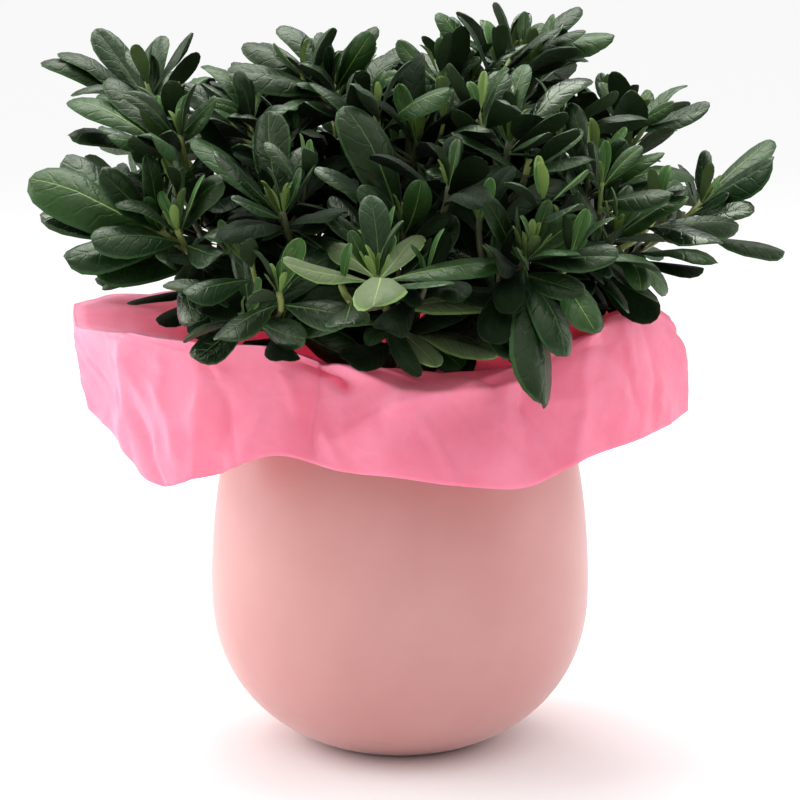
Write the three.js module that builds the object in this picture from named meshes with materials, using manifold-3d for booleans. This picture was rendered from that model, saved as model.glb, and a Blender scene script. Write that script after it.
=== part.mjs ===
// A potted evergreen azalea: a low, dense shrub in a round-bellied pot, with a collar of pink
// wrapping paper that comes up between the root ball and the pot and folds over the rim.
// Millimetres, +Z up, the front is -Y, and the origin is the middle of the pot's flat foot.
// Turns are degrees about Z, counter-clockwise from +X: 180 is the left, 270 the front.
import * as THREE from "three";
import { mergeVertices } from "three/addons/utils/BufferGeometryUtils.js";
import Module from "manifold-3d";

const wasm = await Module();
wasm.setup();

// Clear space kept between pieces that would touch, and the narrowest facet that is kept
const GAP = 0.3;
const SLIVER = 0.03;

// Pot: an ellipse above the belly and a slightly squarer one below it
const POT_HEIGHT = 142;
const BELLY_RADIUS = 75.5;
const BELLY_HEIGHT = 61.5;
const BELLY_DEPTH_BELOW = 66.3;
const BELLY_SQUARENESS = 2.2;
const BELLY_RISE_ABOVE = 150;
const POT_WALL = 4.5;

// Root ball: a tapered plug that stands on the pot's floor
const ROOT_BALL_FOOT_RADIUS = 29;
const ROOT_BALL_TOP_RADIUS = 55;
const ROOT_BALL_TOP = 128;

// Wrapping paper: [distance out, height] of its crest and of its hem, at every 15 degrees of turn.
// Each fold runs from one [turn, share of the way down] to another. Its height is outwards, and
// negative in a valley.
const PAPER_THICKNESS = 1.2;
const PAPER_TUCK_RADIUS = 59.3;
const PAPER_TUCK_LOW = 112;
const PAPER_TUCK_HIGH = 143;
const PAPER_TURNS = 54;
const PAPER_DROP = 52;
const PAPER_SPREAD = 1.8;
const PAPER_CREST = [
  [103, 165], [98, 170], [94, 170], [96, 167], [98, 166], [97, 170], [97, 172], [99, 169],
  [102, 168], [110, 171], [124, 172], [130, 172], [128, 167], [121, 169], [115, 171], [106, 171],
  [93, 170], [85, 164], [80, 162], [76, 160], [80, 161], [88, 169], [94, 177], [99, 178],
];
const PAPER_HEM = [
  [114, 138], [114, 142], [112, 142], [113, 138], [114, 138], [113, 142], [112, 144], [114, 139],
  [118, 136], [120, 143], [122, 148], [125, 143], [122, 136], [112, 126], [107, 114], [99, 120],
  [92, 130], [83, 124], [92, 124], [97, 121], [95, 119], [98, 127], [107, 132], [111, 135],
];
const PAPER_FOLDS = [
  { from: [213, 0], to: [199, 0.9], height: 5, half: 18 },
  { from: [205, 0.75], to: [213, 1], height: -3, half: 11 },
  { from: [226, 0.1], to: [222, 1], height: 3, half: 19 },
  { from: [249, 0], to: [248, 1.05], height: -7, half: 12 },
  { from: [256, 0.1], to: [270, 0.45], height: 4, half: 18 },
  { from: [270, 0.45], to: [300, 0.3], height: 4, half: 16 },
  { from: [251, 0], to: [255, 0.35], height: -4, half: 12 },
  { from: [282, 0], to: [292, 0.3], height: -3, half: 11 },
  { from: [318, 0.1], to: [312, 1], height: 3, half: 20 },
  { from: [338, 0], to: [334, 1], height: -2, half: 14 },
  { from: [352, 0], to: [349, 1], height: 3, half: 18 },
  { from: [170, 0], to: [184, 1], height: 4, half: 18 },
  { from: [150, 0], to: [158, 1], height: -3, half: 16 },
  { from: [120, 0], to: [130, 1], height: 4, half: 20 },
  { from: [96, 0], to: [92, 1], height: -4, half: 19 },
  { from: [70, 0], to: [78, 1], height: 4, half: 20 },
  { from: [45, 0], to: [40, 1], height: -3, half: 18 },
  { from: [20, 0], to: [26, 1], height: 4, half: 18 },
];

// Wood: one short main stem, boughs that leave it, and a stem for each mass of foliage
const TRUNK_LENGTH = 44;
const TRUNK_RADIUS = 6.6;
const TRUNK_TAPER = 1.4;
const ROOT_FLARE = 4;
const TRUNK_LEAN = [3, 2];
const BOUGH_RADIUS = 3.9;
const FORK_RADIUS = 3.1;
const STEM_RADIUS = 1.8;
const SHOOT_RADIUS = 1.45;
const TWIG_RADIUS = 1.5;

// Leaves: long paddles, widest past the middle, in a whorl round each shoot's tip
const LEAF_LENGTH = 55;
const YOUNG_LEAF_LENGTH = 26;
const LEAF_BREADTH = 1;
const SHORTEST_LEAF = 30;
const LEAF_ROOT = 0.15;
const WHORL_LEAVES = 8;
const FILLING_SIZE = 0.78;
const NEAREST = 0.72;
const SINGLE_SIZE = 0.75;
const TWIG_LEAF_SIZE = 0.72;
const WHORL_DEPTH = 11;
const TWIG_LEAVES = 2;
const GOLDEN_TURN = 137.5;
const OUTWARD = 270;
const LEAF_LIFTS = [0, 0.08, -0.08, 0.16, -0.16, 0.28, -0.28, 0.4];
const CLEAR_SHARE = 0.3;

// Facets along and round the wood
const TRUNK_STEPS = 5;
const BOUGH_STEPS = 4;
const STEM_STEPS = 4;
const TWIG_STEPS = 2;

// Boughs: where each leaves the main stem, where it forks, and the shoot tips it feeds.
// Forks are [turn, distance out, height]. Tips have the seed of their dice as a fourth number.
const BOUGHS = [
  { name: "left", foot: 11, fork: [192, 40, 172],
    tips: { left_high: [162, 106, 251, 147], left_middle: [188, 93, 240, 5],
      left_low: [207, 101, 209, 75], left_inner: [186, 58, 248, 84] } },
  { name: "front_left", foot: 21, fork: [232, 40, 176],
    tips: { front_left_low: [234, 98, 181, 105], front_left_high: [231, 71, 216, 1] } },
  { name: "front", foot: 9, fork: [273, 40, 164],
    tips: { front_low: [265, 98, 198, 99], front_middle: [271, 50, 209, 2] } },
  { name: "front_right", foot: 17, fork: [307, 42, 174],
    tips: { front_right_low: [301, 90, 203, 3], front_right_high: [326, 50, 241, 4] } },
  { name: "right", foot: 26, fork: [350, 48, 180],
    tips: { right_middle: [18, 96, 243, 130], right_low: [329, 94, 208, 90],
      right_far: [2, 119, 214, 28], right_high: [349, 76, 223, 7] } },
  { name: "top", foot: 44, fork: [60, 9, 200],
    tips: { top_left: [147, 32, 260, 55], top_front: [292, 18, 240, 12],
      top_right: [44, 63, 269, 25], top_middle: [45, 34, 263, 40] } },
  { name: "back_right", foot: 19, fork: [50, 46, 176],
    tips: { back_right_high: [64, 88, 244, 9], back_right_low: [35, 105, 207, 8],
      back_right_far: [70, 118, 204, 6] } },
  { name: "back", foot: 31, fork: [98, 34, 188],
    tips: { back_high: [95, 72, 238, 10], back_top: [130, 68, 239, 15], back_low: [99, 112, 216, 11] } },
  { name: "back_left", foot: 23, fork: [141, 46, 176],
    tips: { back_left_high: [138, 98, 238, 42], back_left_low: [156, 120, 208, 110],
      back_left_far: [123, 118, 206, 13] } },
];

// Leaves that the photo shows one by one, read off it by eye. Each row is the pixel across and down
// of the leaf's tip, its length, 1 where it points away from the eye or -1 where it comes forward,
// its distance back from the shoot's tip, and how far the blade faces the front, from 0 for edge on
// to 1. The others follow the plant's rule.
const SHOWN_LEAVES = {
  left_high: [
    [96, 28, 44, 1, 4, 0.8], [56, 54, 44, 1, 4, 0.5], [41, 64, 48, -1, 5, 0.55],
    [157, 32, 36, 1, 3, 0.88], [209, 77, 42, 1, 6, 0.52], [152, 54, 24, -1, 1, 0.9],
    [177, 71, 32, 1, 3, 0.7], [115, 64, 26, 1, 2, 0.5],
  ],
  left_middle: [
    [69, 101, 48, 1, 5, 0.64], [104, 85, 42, 1, 3, 0.5], [216, 99, 38, -1, 3, 0.65],
    [231, 125, 40, 1, 5, 0.4], [170, 113, 24, 1, 1, 0.9], [109, 138, 32, -1, 4, 0.4],
  ],
  left_low: [
    [28, 178, 50, -1, 8, 0.7], [71, 140, 52, 1, 3, 0.8], [100, 171, 40, -1, 3, 0.87],
    [66, 261, 48, -1, 8, 0.6], [41, 214, 50, 1, 10, 0.5], [223, 180, 40, -1, 5, 0.7],
    [168, 265, 32, -1, 6, 0.9], [145, 155, 32, -1, 1, 0.75], [177, 155, 34, 1, 2, 0.6],
    [140, 194, 20, -1, 1, 0.9], [95, 272, 48, -1, 26, 0.6],
  ],
  left_inner: [
    [204, 67, 40, 1, 4, 0.4], [234, 75, 34, -1, 3, 0.7], [219, 97, 30, -1, 2, 0.6],
    [286, 112, 36, -1, 6, 0.5], [233, 130, 30, -1, 4, 0.6],
  ],
  front_left_low: [
    [195, 360, 34, -1, 5, 0.95], [163, 287, 36, -1, 3, 0.5], [246, 345, 34, -1, 42, 0.5],
    [296, 300, 38, 1, 4, 0.6], [215, 300, 30, 1, 2, 0.6],
  ],
  front_left_high: [
    [271, 121, 42, 1, 2, 0.83], [194, 137, 48, 1, 4, 0.45], [213, 152, 40, -1, 4, 0.3],
    [309, 155, 36, 1, 3, 1], [294, 124, 42, 1, 3, 0.8], [204, 237, 40, -1, 10, 0.6],
    [321, 255, 30, -1, 8, 0.4],
  ],
  front_low: [
    [283, 262, 38, -1, 4, 0.35], [502, 262, 46, 1, 4, 0.3], [330, 246, 30, 1, 3, 0.9],
    [420, 235, 32, 1, 3, 0.7], [454, 284, 30, -1, 6, 0.35], [504, 276, 46, 1, 22, 0.5],
    [372, 307, 50, -1, 2, 1], [284, 333, 42, -1, 40, 0.4], [500, 353, 40, -1, 46, 0.35],
    [437, 368, 34, -1, 36, 0.8], [366, 366, 28, -1, 50, 0.8], [308, 306, 34, -1, 12, 0.5],
  ],
  front_middle: [
    [462, 368, 36, -1, 42, 0.8], [346, 362, 38, -1, 40, 0.7], [343, 107, 54, 1, 4, 0.9],
    [314, 168, 44, -1, 5, 0.4], [357, 189, 32, -1, 2, 0.95], [421, 179, 36, -1, 2, 1],
    [487, 175, 40, -1, 4, 0.65], [468, 245, 32, -1, 6, 0.5],
  ],
  front_right_low: [
    [545, 406, 58, -1, 4, 0.6], [558, 367, 42, -1, 8, 0.85], [594, 333, 40, 1, 14, 0.8],
    [590, 304, 36, -1, 10, 0.95], [621, 265, 40, -1, 3, 0.6], [577, 279, 32, -1, 5, 0.3],
    [527, 340, 30, -1, 28, 0.8], [539, 371, 36, -1, 38, 0.6], [593, 214, 36, 1, 3, 0.6],
    [490, 215, 30, 1, 3, 0.6], [500, 380, 30, -1, 50, 0.6],
  ],
  front_right_high: [
    [591, 80, 46, 1, 4, 0.62], [487, 79, 32, 1, 2, 0.88], [509, 84, 26, 1, 1, 0.8],
    [525, 64, 36, 1, 1, 0.8], [443, 91, 38, 1, 4, 0.92], [439, 141, 32, -1, 5, 0.35],
    [528, 160, 22, -1, 3, 0.5], [429, 174, 40, -1, 9, 0.5], [553, 166, 32, -1, 7, 0.4],
  ],
  right_middle: [
    [710, 107, 40, -1, 4, 0.45], [618, 76, 28, 1, 1, 0.95], [647, 89, 26, 1, 2, 0.7],
    [690, 92, 34, 1, 3, 0.5], [674, 103, 28, -1, 3, 0.5], [640, 160, 34, -1, 8, 0.6],
  ],
  right_low: [
    [685, 186, 36, 1, 4, 0.5], [689, 198, 38, -1, 6, 0.5], [640, 291, 34, -1, 6, 0.6],
    [655, 300, 42, -1, 12, 0.5], [622, 263, 26, -1, 24, 0.8], [560, 262, 34, -1, 5, 0.6],
    [625, 309, 40, -1, 18, 0.5], [560, 225, 38, 1, 4, 0.6],
  ],
  right_far: [
    [770, 139, 46, 1, 2, 0.45], [773, 161, 44, -1, 3, 0.4], [755, 212, 40, -1, 14, 0.45],
    [703, 151, 28, 1, 1, 0.7], [733, 199, 26, -1, 8, 0.5], [716, 264, 38, -1, 34, 0.3],
    [680, 165, 28, 1, 3, 0.6],
  ],
  right_high: [
    [563, 109, 36, 1, 2, 0.8], [582, 116, 30, 1, 1, 0.7], [627, 141, 32, -1, 3, 0.85],
    [665, 154, 36, -1, 4, 0.5], [694, 177, 46, 1, 6, 0.5], [661, 188, 34, -1, 5, 0.7],
    [559, 155, 32, -1, 4, 0.6], [549, 198, 32, -1, 6, 0.5], [536, 246, 34, -1, 10, 0.6],
    [602, 160, 20, -1, 1, 0.8],
  ],
  top_left: [
    [244, 43, 46, 1, 5, 0.45], [280, 26, 38, 1, 3, 0.5], [371, 33, 36, -1, 3, 1],
    [227, 73, 48, -1, 7, 0.45], [321, 32, 28, 1, 2, 0.7], [398, 75, 32, -1, 6, 0.5],
    [357, 54, 24, -1, 2, 0.7], [327, 46, 22, -1, 1, 0.6], [280, 111, 38, -1, 9, 0.5],
    [375, 48, 30, 1, 4, 0.6],
  ],
  top_right: [
    [580, 7, 42, 1, 2, 0.5], [617, 44, 46, -1, 3, 0.4], [482, 20, 26, 1, 2, 0.8],
    [459, 38, 32, -1, 4, 0.45], [527, 12, 26, 1, 1, 0.95], [563, 52, 30, -1, 4, 0.55],
    [545, 27, 24, 1, 1, 0.6], [586, 61, 44, 1, 14, 0.5], [467, 51, 30, 1, 6, 0.5],
  ],
  top_middle: [
    [450, 17, 34, 1, 2, 1], [404, 53, 34, 1, 3, 0.8], [407, 88, 30, -1, 4, 0.85],
    [500, 100, 34, -1, 6, 0.6], [480, 60, 24, -1, 2, 0.7],
  ],
};

// Where the photo was taken from: the eye, the spot it looks at, its view angle in degrees and the
// photo's width in pixels. A tip's pixel is turned into a direction with them.
const EYE = [0, -984.8, 310.2];
const LOOKED_AT = [0, 0, 136.58];
const VIEW_ANGLE = 18.04;
const PHOTO_WIDTH = 800;

// Colours of the real surfaces
const POT_PINK = new THREE.MeshStandardMaterial({ color: "#d9a19c", roughness: 0.45 });
const SOIL_BROWN = new THREE.MeshStandardMaterial({ color: "#2b1d15", roughness: 1 });
const PAPER_PINK = new THREE.MeshStandardMaterial({
  color: "#f2839c",
  roughness: 0.8,
  side: THREE.DoubleSide,
});
const OLD_BARK = new THREE.MeshStandardMaterial({ color: "#6b5138", roughness: 0.9 });
const GREEN_BARK = new THREE.MeshStandardMaterial({ color: "#7c7a3a", roughness: 0.8 });
const LEAF_GREEN = new THREE.MeshStandardMaterial({ color: "#26382a", roughness: 0.5 });

const UP = new THREE.Vector3(0, 0, 1);
const FRONT = new THREE.Vector3(0, -0.985, 0.174);

// Repeatable random numbers, the same on every run
class Dice {
  constructor(seed) {
    this.state = seed;
  }
  roll(low, high) {
    this.state = (1664525 * this.state + 1013904223) % 4294967296;
    return low + ((high - low) * this.state) / 4294967296;
  }
}

function radians(degrees) {
  return THREE.MathUtils.degToRad(degrees);
}

// A point from its turn about the pot's axis, its distance out and its height
function placed([turn, out, height]) {
  const angle = radians(turn);
  return new THREE.Vector3(out * Math.cos(angle), out * Math.sin(angle), height);
}

// A geometry as a closed solid: only positions are kept, and shared corners are merged
function solidOf(geometry) {
  const bare = geometry.clone();
  bare.deleteAttribute("normal");
  bare.deleteAttribute("uv");
  const closed = mergeVertices(bare, 1e-4);
  return new wasm.Manifold(
    new wasm.Mesh({
      numProp: 3,
      vertProperties: closed.getAttribute("position").array,
      triVerts: new Uint32Array(closed.index.array),
    }),
  );
}

// A solid back as a geometry, without the slivers that cuts and joins leave
function geometryOf(solid) {
  const mesh = solid.simplify(SLIVER).getMesh();
  const geometry = new THREE.BufferGeometry();
  geometry.setAttribute("position", new THREE.BufferAttribute(mesh.vertProperties, 3));
  geometry.setIndex(new THREE.BufferAttribute(mesh.triVerts, 1));
  geometry.computeVertexNormals();
  return geometry;
}

function named(name, geometry, material) {
  const mesh = new THREE.Mesh(geometry, material);
  mesh.name = name;
  return mesh;
}

// The pot's outline at one distance inside its outer face, from low to high
function potOutline(inside, low, high, steps) {
  const reach = BELLY_RADIUS - inside;
  const below = BELLY_DEPTH_BELOW - inside;
  const power = 2 / BELLY_SQUARENESS;
  const start = Math.asin(((BELLY_HEIGHT - low) / below) ** (1 / power));
  const end = Math.asin((high - BELLY_HEIGHT) / BELLY_RISE_ABOVE);
  const round = new THREE.EllipseCurve(0, 0, 1, 1, start, 0, true).getPoints(steps);
  const lower = round.map(
    ({ x, y }) => new THREE.Vector2(reach * x ** power, BELLY_HEIGHT - below * Math.abs(y) ** power),
  );
  const upper = new THREE.EllipseCurve(0, BELLY_HEIGHT, reach, BELLY_RISE_ABOVE, 0, end);
  return [...lower, ...upper.getPoints(Math.ceil(steps / 2)).slice(1)];
}

// Thrown and glazed pot with a rounded lip
function pot() {
  const lipHeight = POT_HEIGHT - POT_WALL / 2;
  const outside = potOutline(0, 0, lipHeight, 7);
  const inside = potOutline(POT_WALL, POT_WALL, lipHeight, 3);
  const outerEdge = outside.at(-1).x;
  const innerEdge = inside.at(-1).x;
  const lip = new THREE.EllipseCurve(
    (outerEdge + innerEdge) / 2, lipHeight, (outerEdge - innerEdge) / 2, POT_WALL / 2, 0, Math.PI,
  );
  const profile = [
    new THREE.Vector2(0, 0),
    ...outside,
    ...lip.getPoints(3).slice(1, -1),
    ...inside.reverse(),
    new THREE.Vector2(0, POT_WALL),
  ];
  return new THREE.LatheGeometry(profile, 32).rotateX(Math.PI / 2);
}

function rootBall() {
  const foot = POT_WALL + GAP;
  const profile = [
    new THREE.Vector2(0, foot),
    new THREE.Vector2(ROOT_BALL_FOOT_RADIUS - 1, foot),
    new THREE.Vector2(ROOT_BALL_TOP_RADIUS, ROOT_BALL_TOP - 4),
    new THREE.Vector2(ROOT_BALL_TOP_RADIUS - 3, ROOT_BALL_TOP),
    new THREE.Vector2(0, ROOT_BALL_TOP),
  ];
  return new THREE.LatheGeometry(profile, 24).rotateX(Math.PI / 2);
}

// A closed smooth line through [out, height] pairs at even turns, read at a share of the turn
function paperRim(pairs) {
  const knots = pairs.map(([out, height]) => new THREE.Vector3(out, height, 0));
  return (share) => {
    const place = share * knots.length;
    const at = Math.floor(place);
    const [a, b, c, d] = [-1, 0, 1, 2].map((k) => knots[(at + k + knots.length) % knots.length]);
    const slope = (p, q) => q.clone().sub(p).multiplyScalar(0.5);
    const hermite = new THREE.CubicBezierCurve3(
      b,
      b.clone().addScaledVector(slope(a, c), 1 / 3),
      c.clone().addScaledVector(slope(b, d), -1 / 3),
      c,
    );
    return hermite.getPoint(place - at);
  };
}

// How far the folds carry one place of the paper outwards
function foldLift(turn, down) {
  const spot = new THREE.Vector3(turn * PAPER_SPREAD, down * PAPER_DROP, 0);
  return PAPER_FOLDS.reduce((lift, { from, to, height, half }) => {
    const line = new THREE.Line3(
      new THREE.Vector3(from[0] * PAPER_SPREAD, from[1] * PAPER_DROP, 0),
      new THREE.Vector3(to[0] * PAPER_SPREAD, to[1] * PAPER_DROP, 0),
    );
    const nearest = line.closestPointToPoint(spot, true, new THREE.Vector3());
    return lift + height * Math.max(1 - nearest.distanceTo(spot) / half, 0) ** 2;
  }, 0);
}

// The paper's middle line at one turn: up from the pot, out to its crest and down to its hem
function paperLine(share) {
  const crestAt = paperRim(PAPER_CREST)(share);
  const hemAt = paperRim(PAPER_HEM)(share);
  const crest = new THREE.Vector2(crestAt.x, crestAt.y);
  const hem = new THREE.Vector2(hemAt.x, hemAt.y);
  const tuck = new THREE.Vector2(PAPER_TUCK_RADIUS, PAPER_TUCK_LOW);
  const throat = new THREE.Vector2(PAPER_TUCK_RADIUS, PAPER_TUCK_HIGH);
  const rise = new THREE.QuadraticBezierCurve(
    throat,
    new THREE.Vector2().lerpVectors(throat, crest, 0.25).setY(crest.y - 5),
    crest,
  );
  const fall = new THREE.QuadraticBezierCurve(
    crest,
    new THREE.Vector2().lerpVectors(crest, hem, 0.7).setY(crest.y - 2),
    hem,
  );
  const inner = rise.getPoints(3).slice(0, -1);
  const outer = fall.getPoints(4);
  inner.slice(1).forEach((point, k) => {
    const lift = (foldLift(share * 360, 0) * (k + 1)) / inner.length;
    point.addScaledVector(new THREE.Vector2(0.928, 0.371), lift);
  });
  outer.forEach((point, k) => {
    point.addScaledVector(new THREE.Vector2(0.928, 0.371), foldLift(share * 360, k / 4));
  });
  return [tuck, ...inner, ...outer];
}

// The paper as a thin closed ring: a lathe's ring whose corners are carried to the sheet's two faces
function paperWrap() {
  const turns = PAPER_TURNS;
  const count = paperLine(0).length * 2 + 1;
  const ring = new THREE.LatheGeometry(
    Array.from({ length: count }, () => new THREE.Vector2(1, 0)), turns,
  );
  const corners = ring.getAttribute("position");
  for (let i = 0; i <= turns; i++) {
    const share = (i % turns) / turns;
    const middle = paperLine(share);
    const faces = [-1, 1].map((side) =>
      middle.map((point, j) => {
        const before = middle[Math.max(j - 1, 0)];
        const after = middle[Math.min(j + 1, middle.length - 1)];
        const along = after.clone().sub(before).normalize();
        const out = new THREE.Vector2(-along.y, along.x);
        return point.clone().addScaledVector(out, (side * PAPER_THICKNESS) / 2);
      }),
    );
    const section = [...faces[0], ...faces[1].reverse(), faces[0][0]];
    const angle = share * 2 * Math.PI;
    section.forEach((point, j) => {
      corners.setXYZ(
        i * count + j, point.x * Math.cos(angle), point.x * Math.sin(angle), point.y,
      );
    });
  }
  return ring;
}

// One tapering limb: a cylinder whose rings are carried to a curve
function limb(curve, radiusAt, sides, steps) {
  const geometry = new THREE.CylinderGeometry(1, 1, 1, sides, steps);
  const corners = geometry.getAttribute("position");
  const frames = curve.computeFrenetFrames(steps);
  for (let v = 0; v < corners.count; v++) {
    const step = Math.round((corners.getY(v) + 0.5) * steps);
    const radius = radiusAt(step / steps);
    const point = curve.getPointAt(step / steps);
    point.addScaledVector(frames.binormals[step], corners.getX(v) * radius);
    point.addScaledVector(frames.normals[step], corners.getZ(v) * radius);
    corners.setXYZ(v, point.x, point.y, point.z);
  }
  return geometry;
}

function taper(start, end) {
  return (share) => start + (end - start) * share;
}

// The main stem, from its flat cut on the root ball to the top, with its root flare
const trunkCurve = new THREE.QuadraticBezierCurve3(
  new THREE.Vector3(0, 0, ROOT_BALL_TOP + GAP),
  new THREE.Vector3(0, 0, ROOT_BALL_TOP + GAP + TRUNK_LENGTH / 2),
  new THREE.Vector3(...TRUNK_LEAN, ROOT_BALL_TOP + GAP + TRUNK_LENGTH),
);

function trunkRadius(share) {
  return TRUNK_RADIUS - TRUNK_TAPER * share + ROOT_FLARE * Math.exp(-10 * share);
}

// A bough starts on the main stem's axis, leaves it sideways and bends up to its fork
function boughCurve(bough) {
  const fork = placed(bough.fork);
  const start = trunkCurve.getPoint(bough.foot / TRUNK_LENGTH);
  const away = fork.clone().sub(start).setZ(0).normalize().addScaledVector(UP, 0.25);
  if (bough.foot === TRUNK_LENGTH) away.copy(trunkCurve.getTangent(1));
  return new THREE.QuadraticBezierCurve3(
    start,
    start.clone().addScaledVector(away.normalize(), start.distanceTo(fork) * 0.45),
    fork,
  );
}

// A bough's root is cut to sit on the main stem's bark
function boughSolid(bough) {
  const whole = solidOf(limb(boughCurve(bough), taper(BOUGH_RADIUS, FORK_RADIUS), 5, BOUGH_STEPS));
  const bark = limb(trunkCurve, (share) => trunkRadius(share) + GAP, 9, TRUNK_STEPS);
  return whole.subtract(solidOf(bark));
}

// Two directions square to a heading, the first one level
function acrossFrom(heading) {
  const level = new THREE.Vector3().crossVectors(UP, heading);
  if (level.length() < 0.05) level.set(1, 0, 0);
  level.normalize();
  return [level, new THREE.Vector3().crossVectors(heading, level).normalize()];
}

function turnedAbout(heading, turn) {
  const [level, rise] = acrossFrom(heading);
  return level.multiplyScalar(Math.cos(radians(turn))).addScaledVector(rise, Math.sin(radians(turn)));
}

// The stems that leave one fork stand side by side on its end, in the order of their tips
function stemsFrom(bough) {
  const curve = boughCurve(bough);
  const fork = curve.getPoint(1);
  const heading = curve.getTangent(1);
  const [level, rise] = acrossFrom(heading);
  const tips = Object.entries(bough.tips).map(([name, [turn, out, height, seed]]) => {
    const tip = placed([turn, out, height]);
    const way = tip.clone().sub(fork);
    return { name, seed, tip, angle: Math.atan2(way.dot(rise), way.dot(level)) };
  });
  tips.sort((a, b) => a.angle - b.angle);
  const slot = (2 * Math.PI) / tips.length;
  const first = tips.reduce((sum, { angle }, k) => sum + angle - k * slot, 0) / tips.length;
  const ring = (STEM_RADIUS * 1.2) / Math.sin(Math.PI / tips.length);
  return tips.map(({ name, seed, tip }, k) => {
    const side = level.clone().multiplyScalar(Math.cos(first + k * slot));
    side.addScaledVector(rise, Math.sin(first + k * slot));
    const start = fork.clone().addScaledVector(heading, GAP).addScaledVector(side, ring);
    const bend = start.clone().addScaledVector(heading, start.distanceTo(tip) * 0.22);
    bend.addScaledVector(side, start.distanceTo(tip) * 0.12);
    return { name, seed, curve: new THREE.CubicBezierCurve3(
      start,
      start.clone().addScaledVector(heading, start.distanceTo(tip) * 0.16),
      bend.lerp(tip, 0.35).addScaledVector(UP, -0.1 * start.distanceTo(tip)),
      tip,
    ) };
  });
}

// A point on the straight facets of a limb, so that what grows there is rooted in its wood
function pointOn(curve, steps, share) {
  const step = Math.min(Math.floor(share * steps), steps - 1);
  const start = curve.getPointAt(step / steps);
  return start.lerp(curve.getPointAt((step + 1) / steps), share * steps - step);
}

// The way from the eye through a pixel of the photo
function sightLine(eye, across, down) {
  const ahead = new THREE.Vector3(...LOOKED_AT).sub(eye).normalize();
  const right = new THREE.Vector3(1, 0, 0);
  const up = new THREE.Vector3().crossVectors(right, ahead);
  const pixels = PHOTO_WIDTH / 2 / Math.tan(radians(VIEW_ANGLE / 2));
  return ahead.multiplyScalar(pixels).addScaledVector(right, across - PHOTO_WIDTH / 2)
    .addScaledVector(up, PHOTO_WIDTH / 2 - down).normalize();
}

// From a leaf's root to its tip: the spot on the sight line that is the leaf's length away, behind
// or before the root, or else the nearest spot on that line. Whole degrees and millimetres will do.
function reachOf(root, across, down, length, side) {
  const eye = new THREE.Vector3(...EYE);
  const sight = sightLine(eye, across, down);
  const back = eye.sub(root);
  const near = back.dot(sight);
  const spare = Math.max(length ** 2 - back.lengthSq() + near ** 2, 0);
  const reach = back.addScaledVector(sight, side * Math.sqrt(spare) - near);
  const turn = Math.round(THREE.MathUtils.radToDeg(Math.atan2(reach.y, reach.x)));
  const rise = Math.round(THREE.MathUtils.radToDeg(Math.asin(reach.z / reach.length())));
  const way = placed([turn, Math.cos(radians(rise)), Math.sin(radians(rise))]);
  return [way, Math.round(reach.length())];
}

// The leaves that the photo shows, each with the share of its width that shows
function shownLeaves(curve, rows) {
  return rows.map(([across, down, given, side, depth, facing]) => {
    const root = pointOn(curve, STEM_STEPS, 1 - depth / curve.getLength());
    const [way, length] = reachOf(root, across, down, given, side);
    const front = FRONT.clone().addScaledVector(way, -FRONT.dot(way)).normalize();
    const above = new THREE.Vector3().crossVectors(way, front);
    if (above.z < 0) above.negate();
    return {
      root,
      way,
      face: front.multiplyScalar(facing).addScaledVector(above, Math.sqrt(1 - facing ** 2)),
      length,
    };
  });
}

// The leaves round a shoot's tip: the first are the oldest, long and spread flat, the last stand up
function whorl(dice, curve, steps, count, size) {
  const heading = curve.getTangent(1).addScaledVector(UP, 0.85).normalize();
  const phase = OUTWARD + dice.roll(-30, 30);
  const droop = THREE.MathUtils.mapLinear(curve.getPoint(1).z, 205, 265, 80, 62);
  return Array.from({ length: count }, (_, k) => {
    const youth = k / (count - 1);
    const tilt = radians(droop - (droop - 24) * youth ** 1.1 + dice.roll(-8, 8));
    const out = turnedAbout(heading, phase + k * GOLDEN_TURN + dice.roll(-12, 12));
    const way = heading.clone().multiplyScalar(Math.cos(tilt)).addScaledVector(out, Math.sin(tilt));
    const face = heading.clone().multiplyScalar(Math.sin(tilt)).addScaledVector(out, -Math.cos(tilt));
    const full = LEAF_LENGTH + (YOUNG_LEAF_LENGTH - LEAF_LENGTH) * youth ** 1.4;
    const depth = WHORL_DEPTH * size * (1 - youth) + 1;
    return {
      root: pointOn(curve, steps, 1 - depth / curve.getLength()),
      way,
      face: face.applyAxisAngle(way, radians(dice.roll(-40, 40))),
      length: full * size * dice.roll(0.86, 1.06),
    };
  });
}

// Leaves set singly along a stem below its whorl
function singleLeaves(dice, curve, shares, size) {
  return shares.map((share) => {
    const heading = curve.getTangentAt(share);
    const out = turnedAbout(heading, dice.roll(0, 360));
    const tilt = radians(dice.roll(70, 112));
    const way = heading.clone().multiplyScalar(Math.cos(tilt)).addScaledVector(out, Math.sin(tilt));
    const face = heading.clone().multiplyScalar(Math.sin(tilt)).addScaledVector(out, -Math.cos(tilt));
    return {
      root: pointOn(curve, STEM_STEPS, share),
      way,
      face: face.applyAxisAngle(way, radians(dice.roll(-50, 50))),
      length: LEAF_LENGTH * size * dice.roll(0.78, 1),
    };
  });
}

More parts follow.
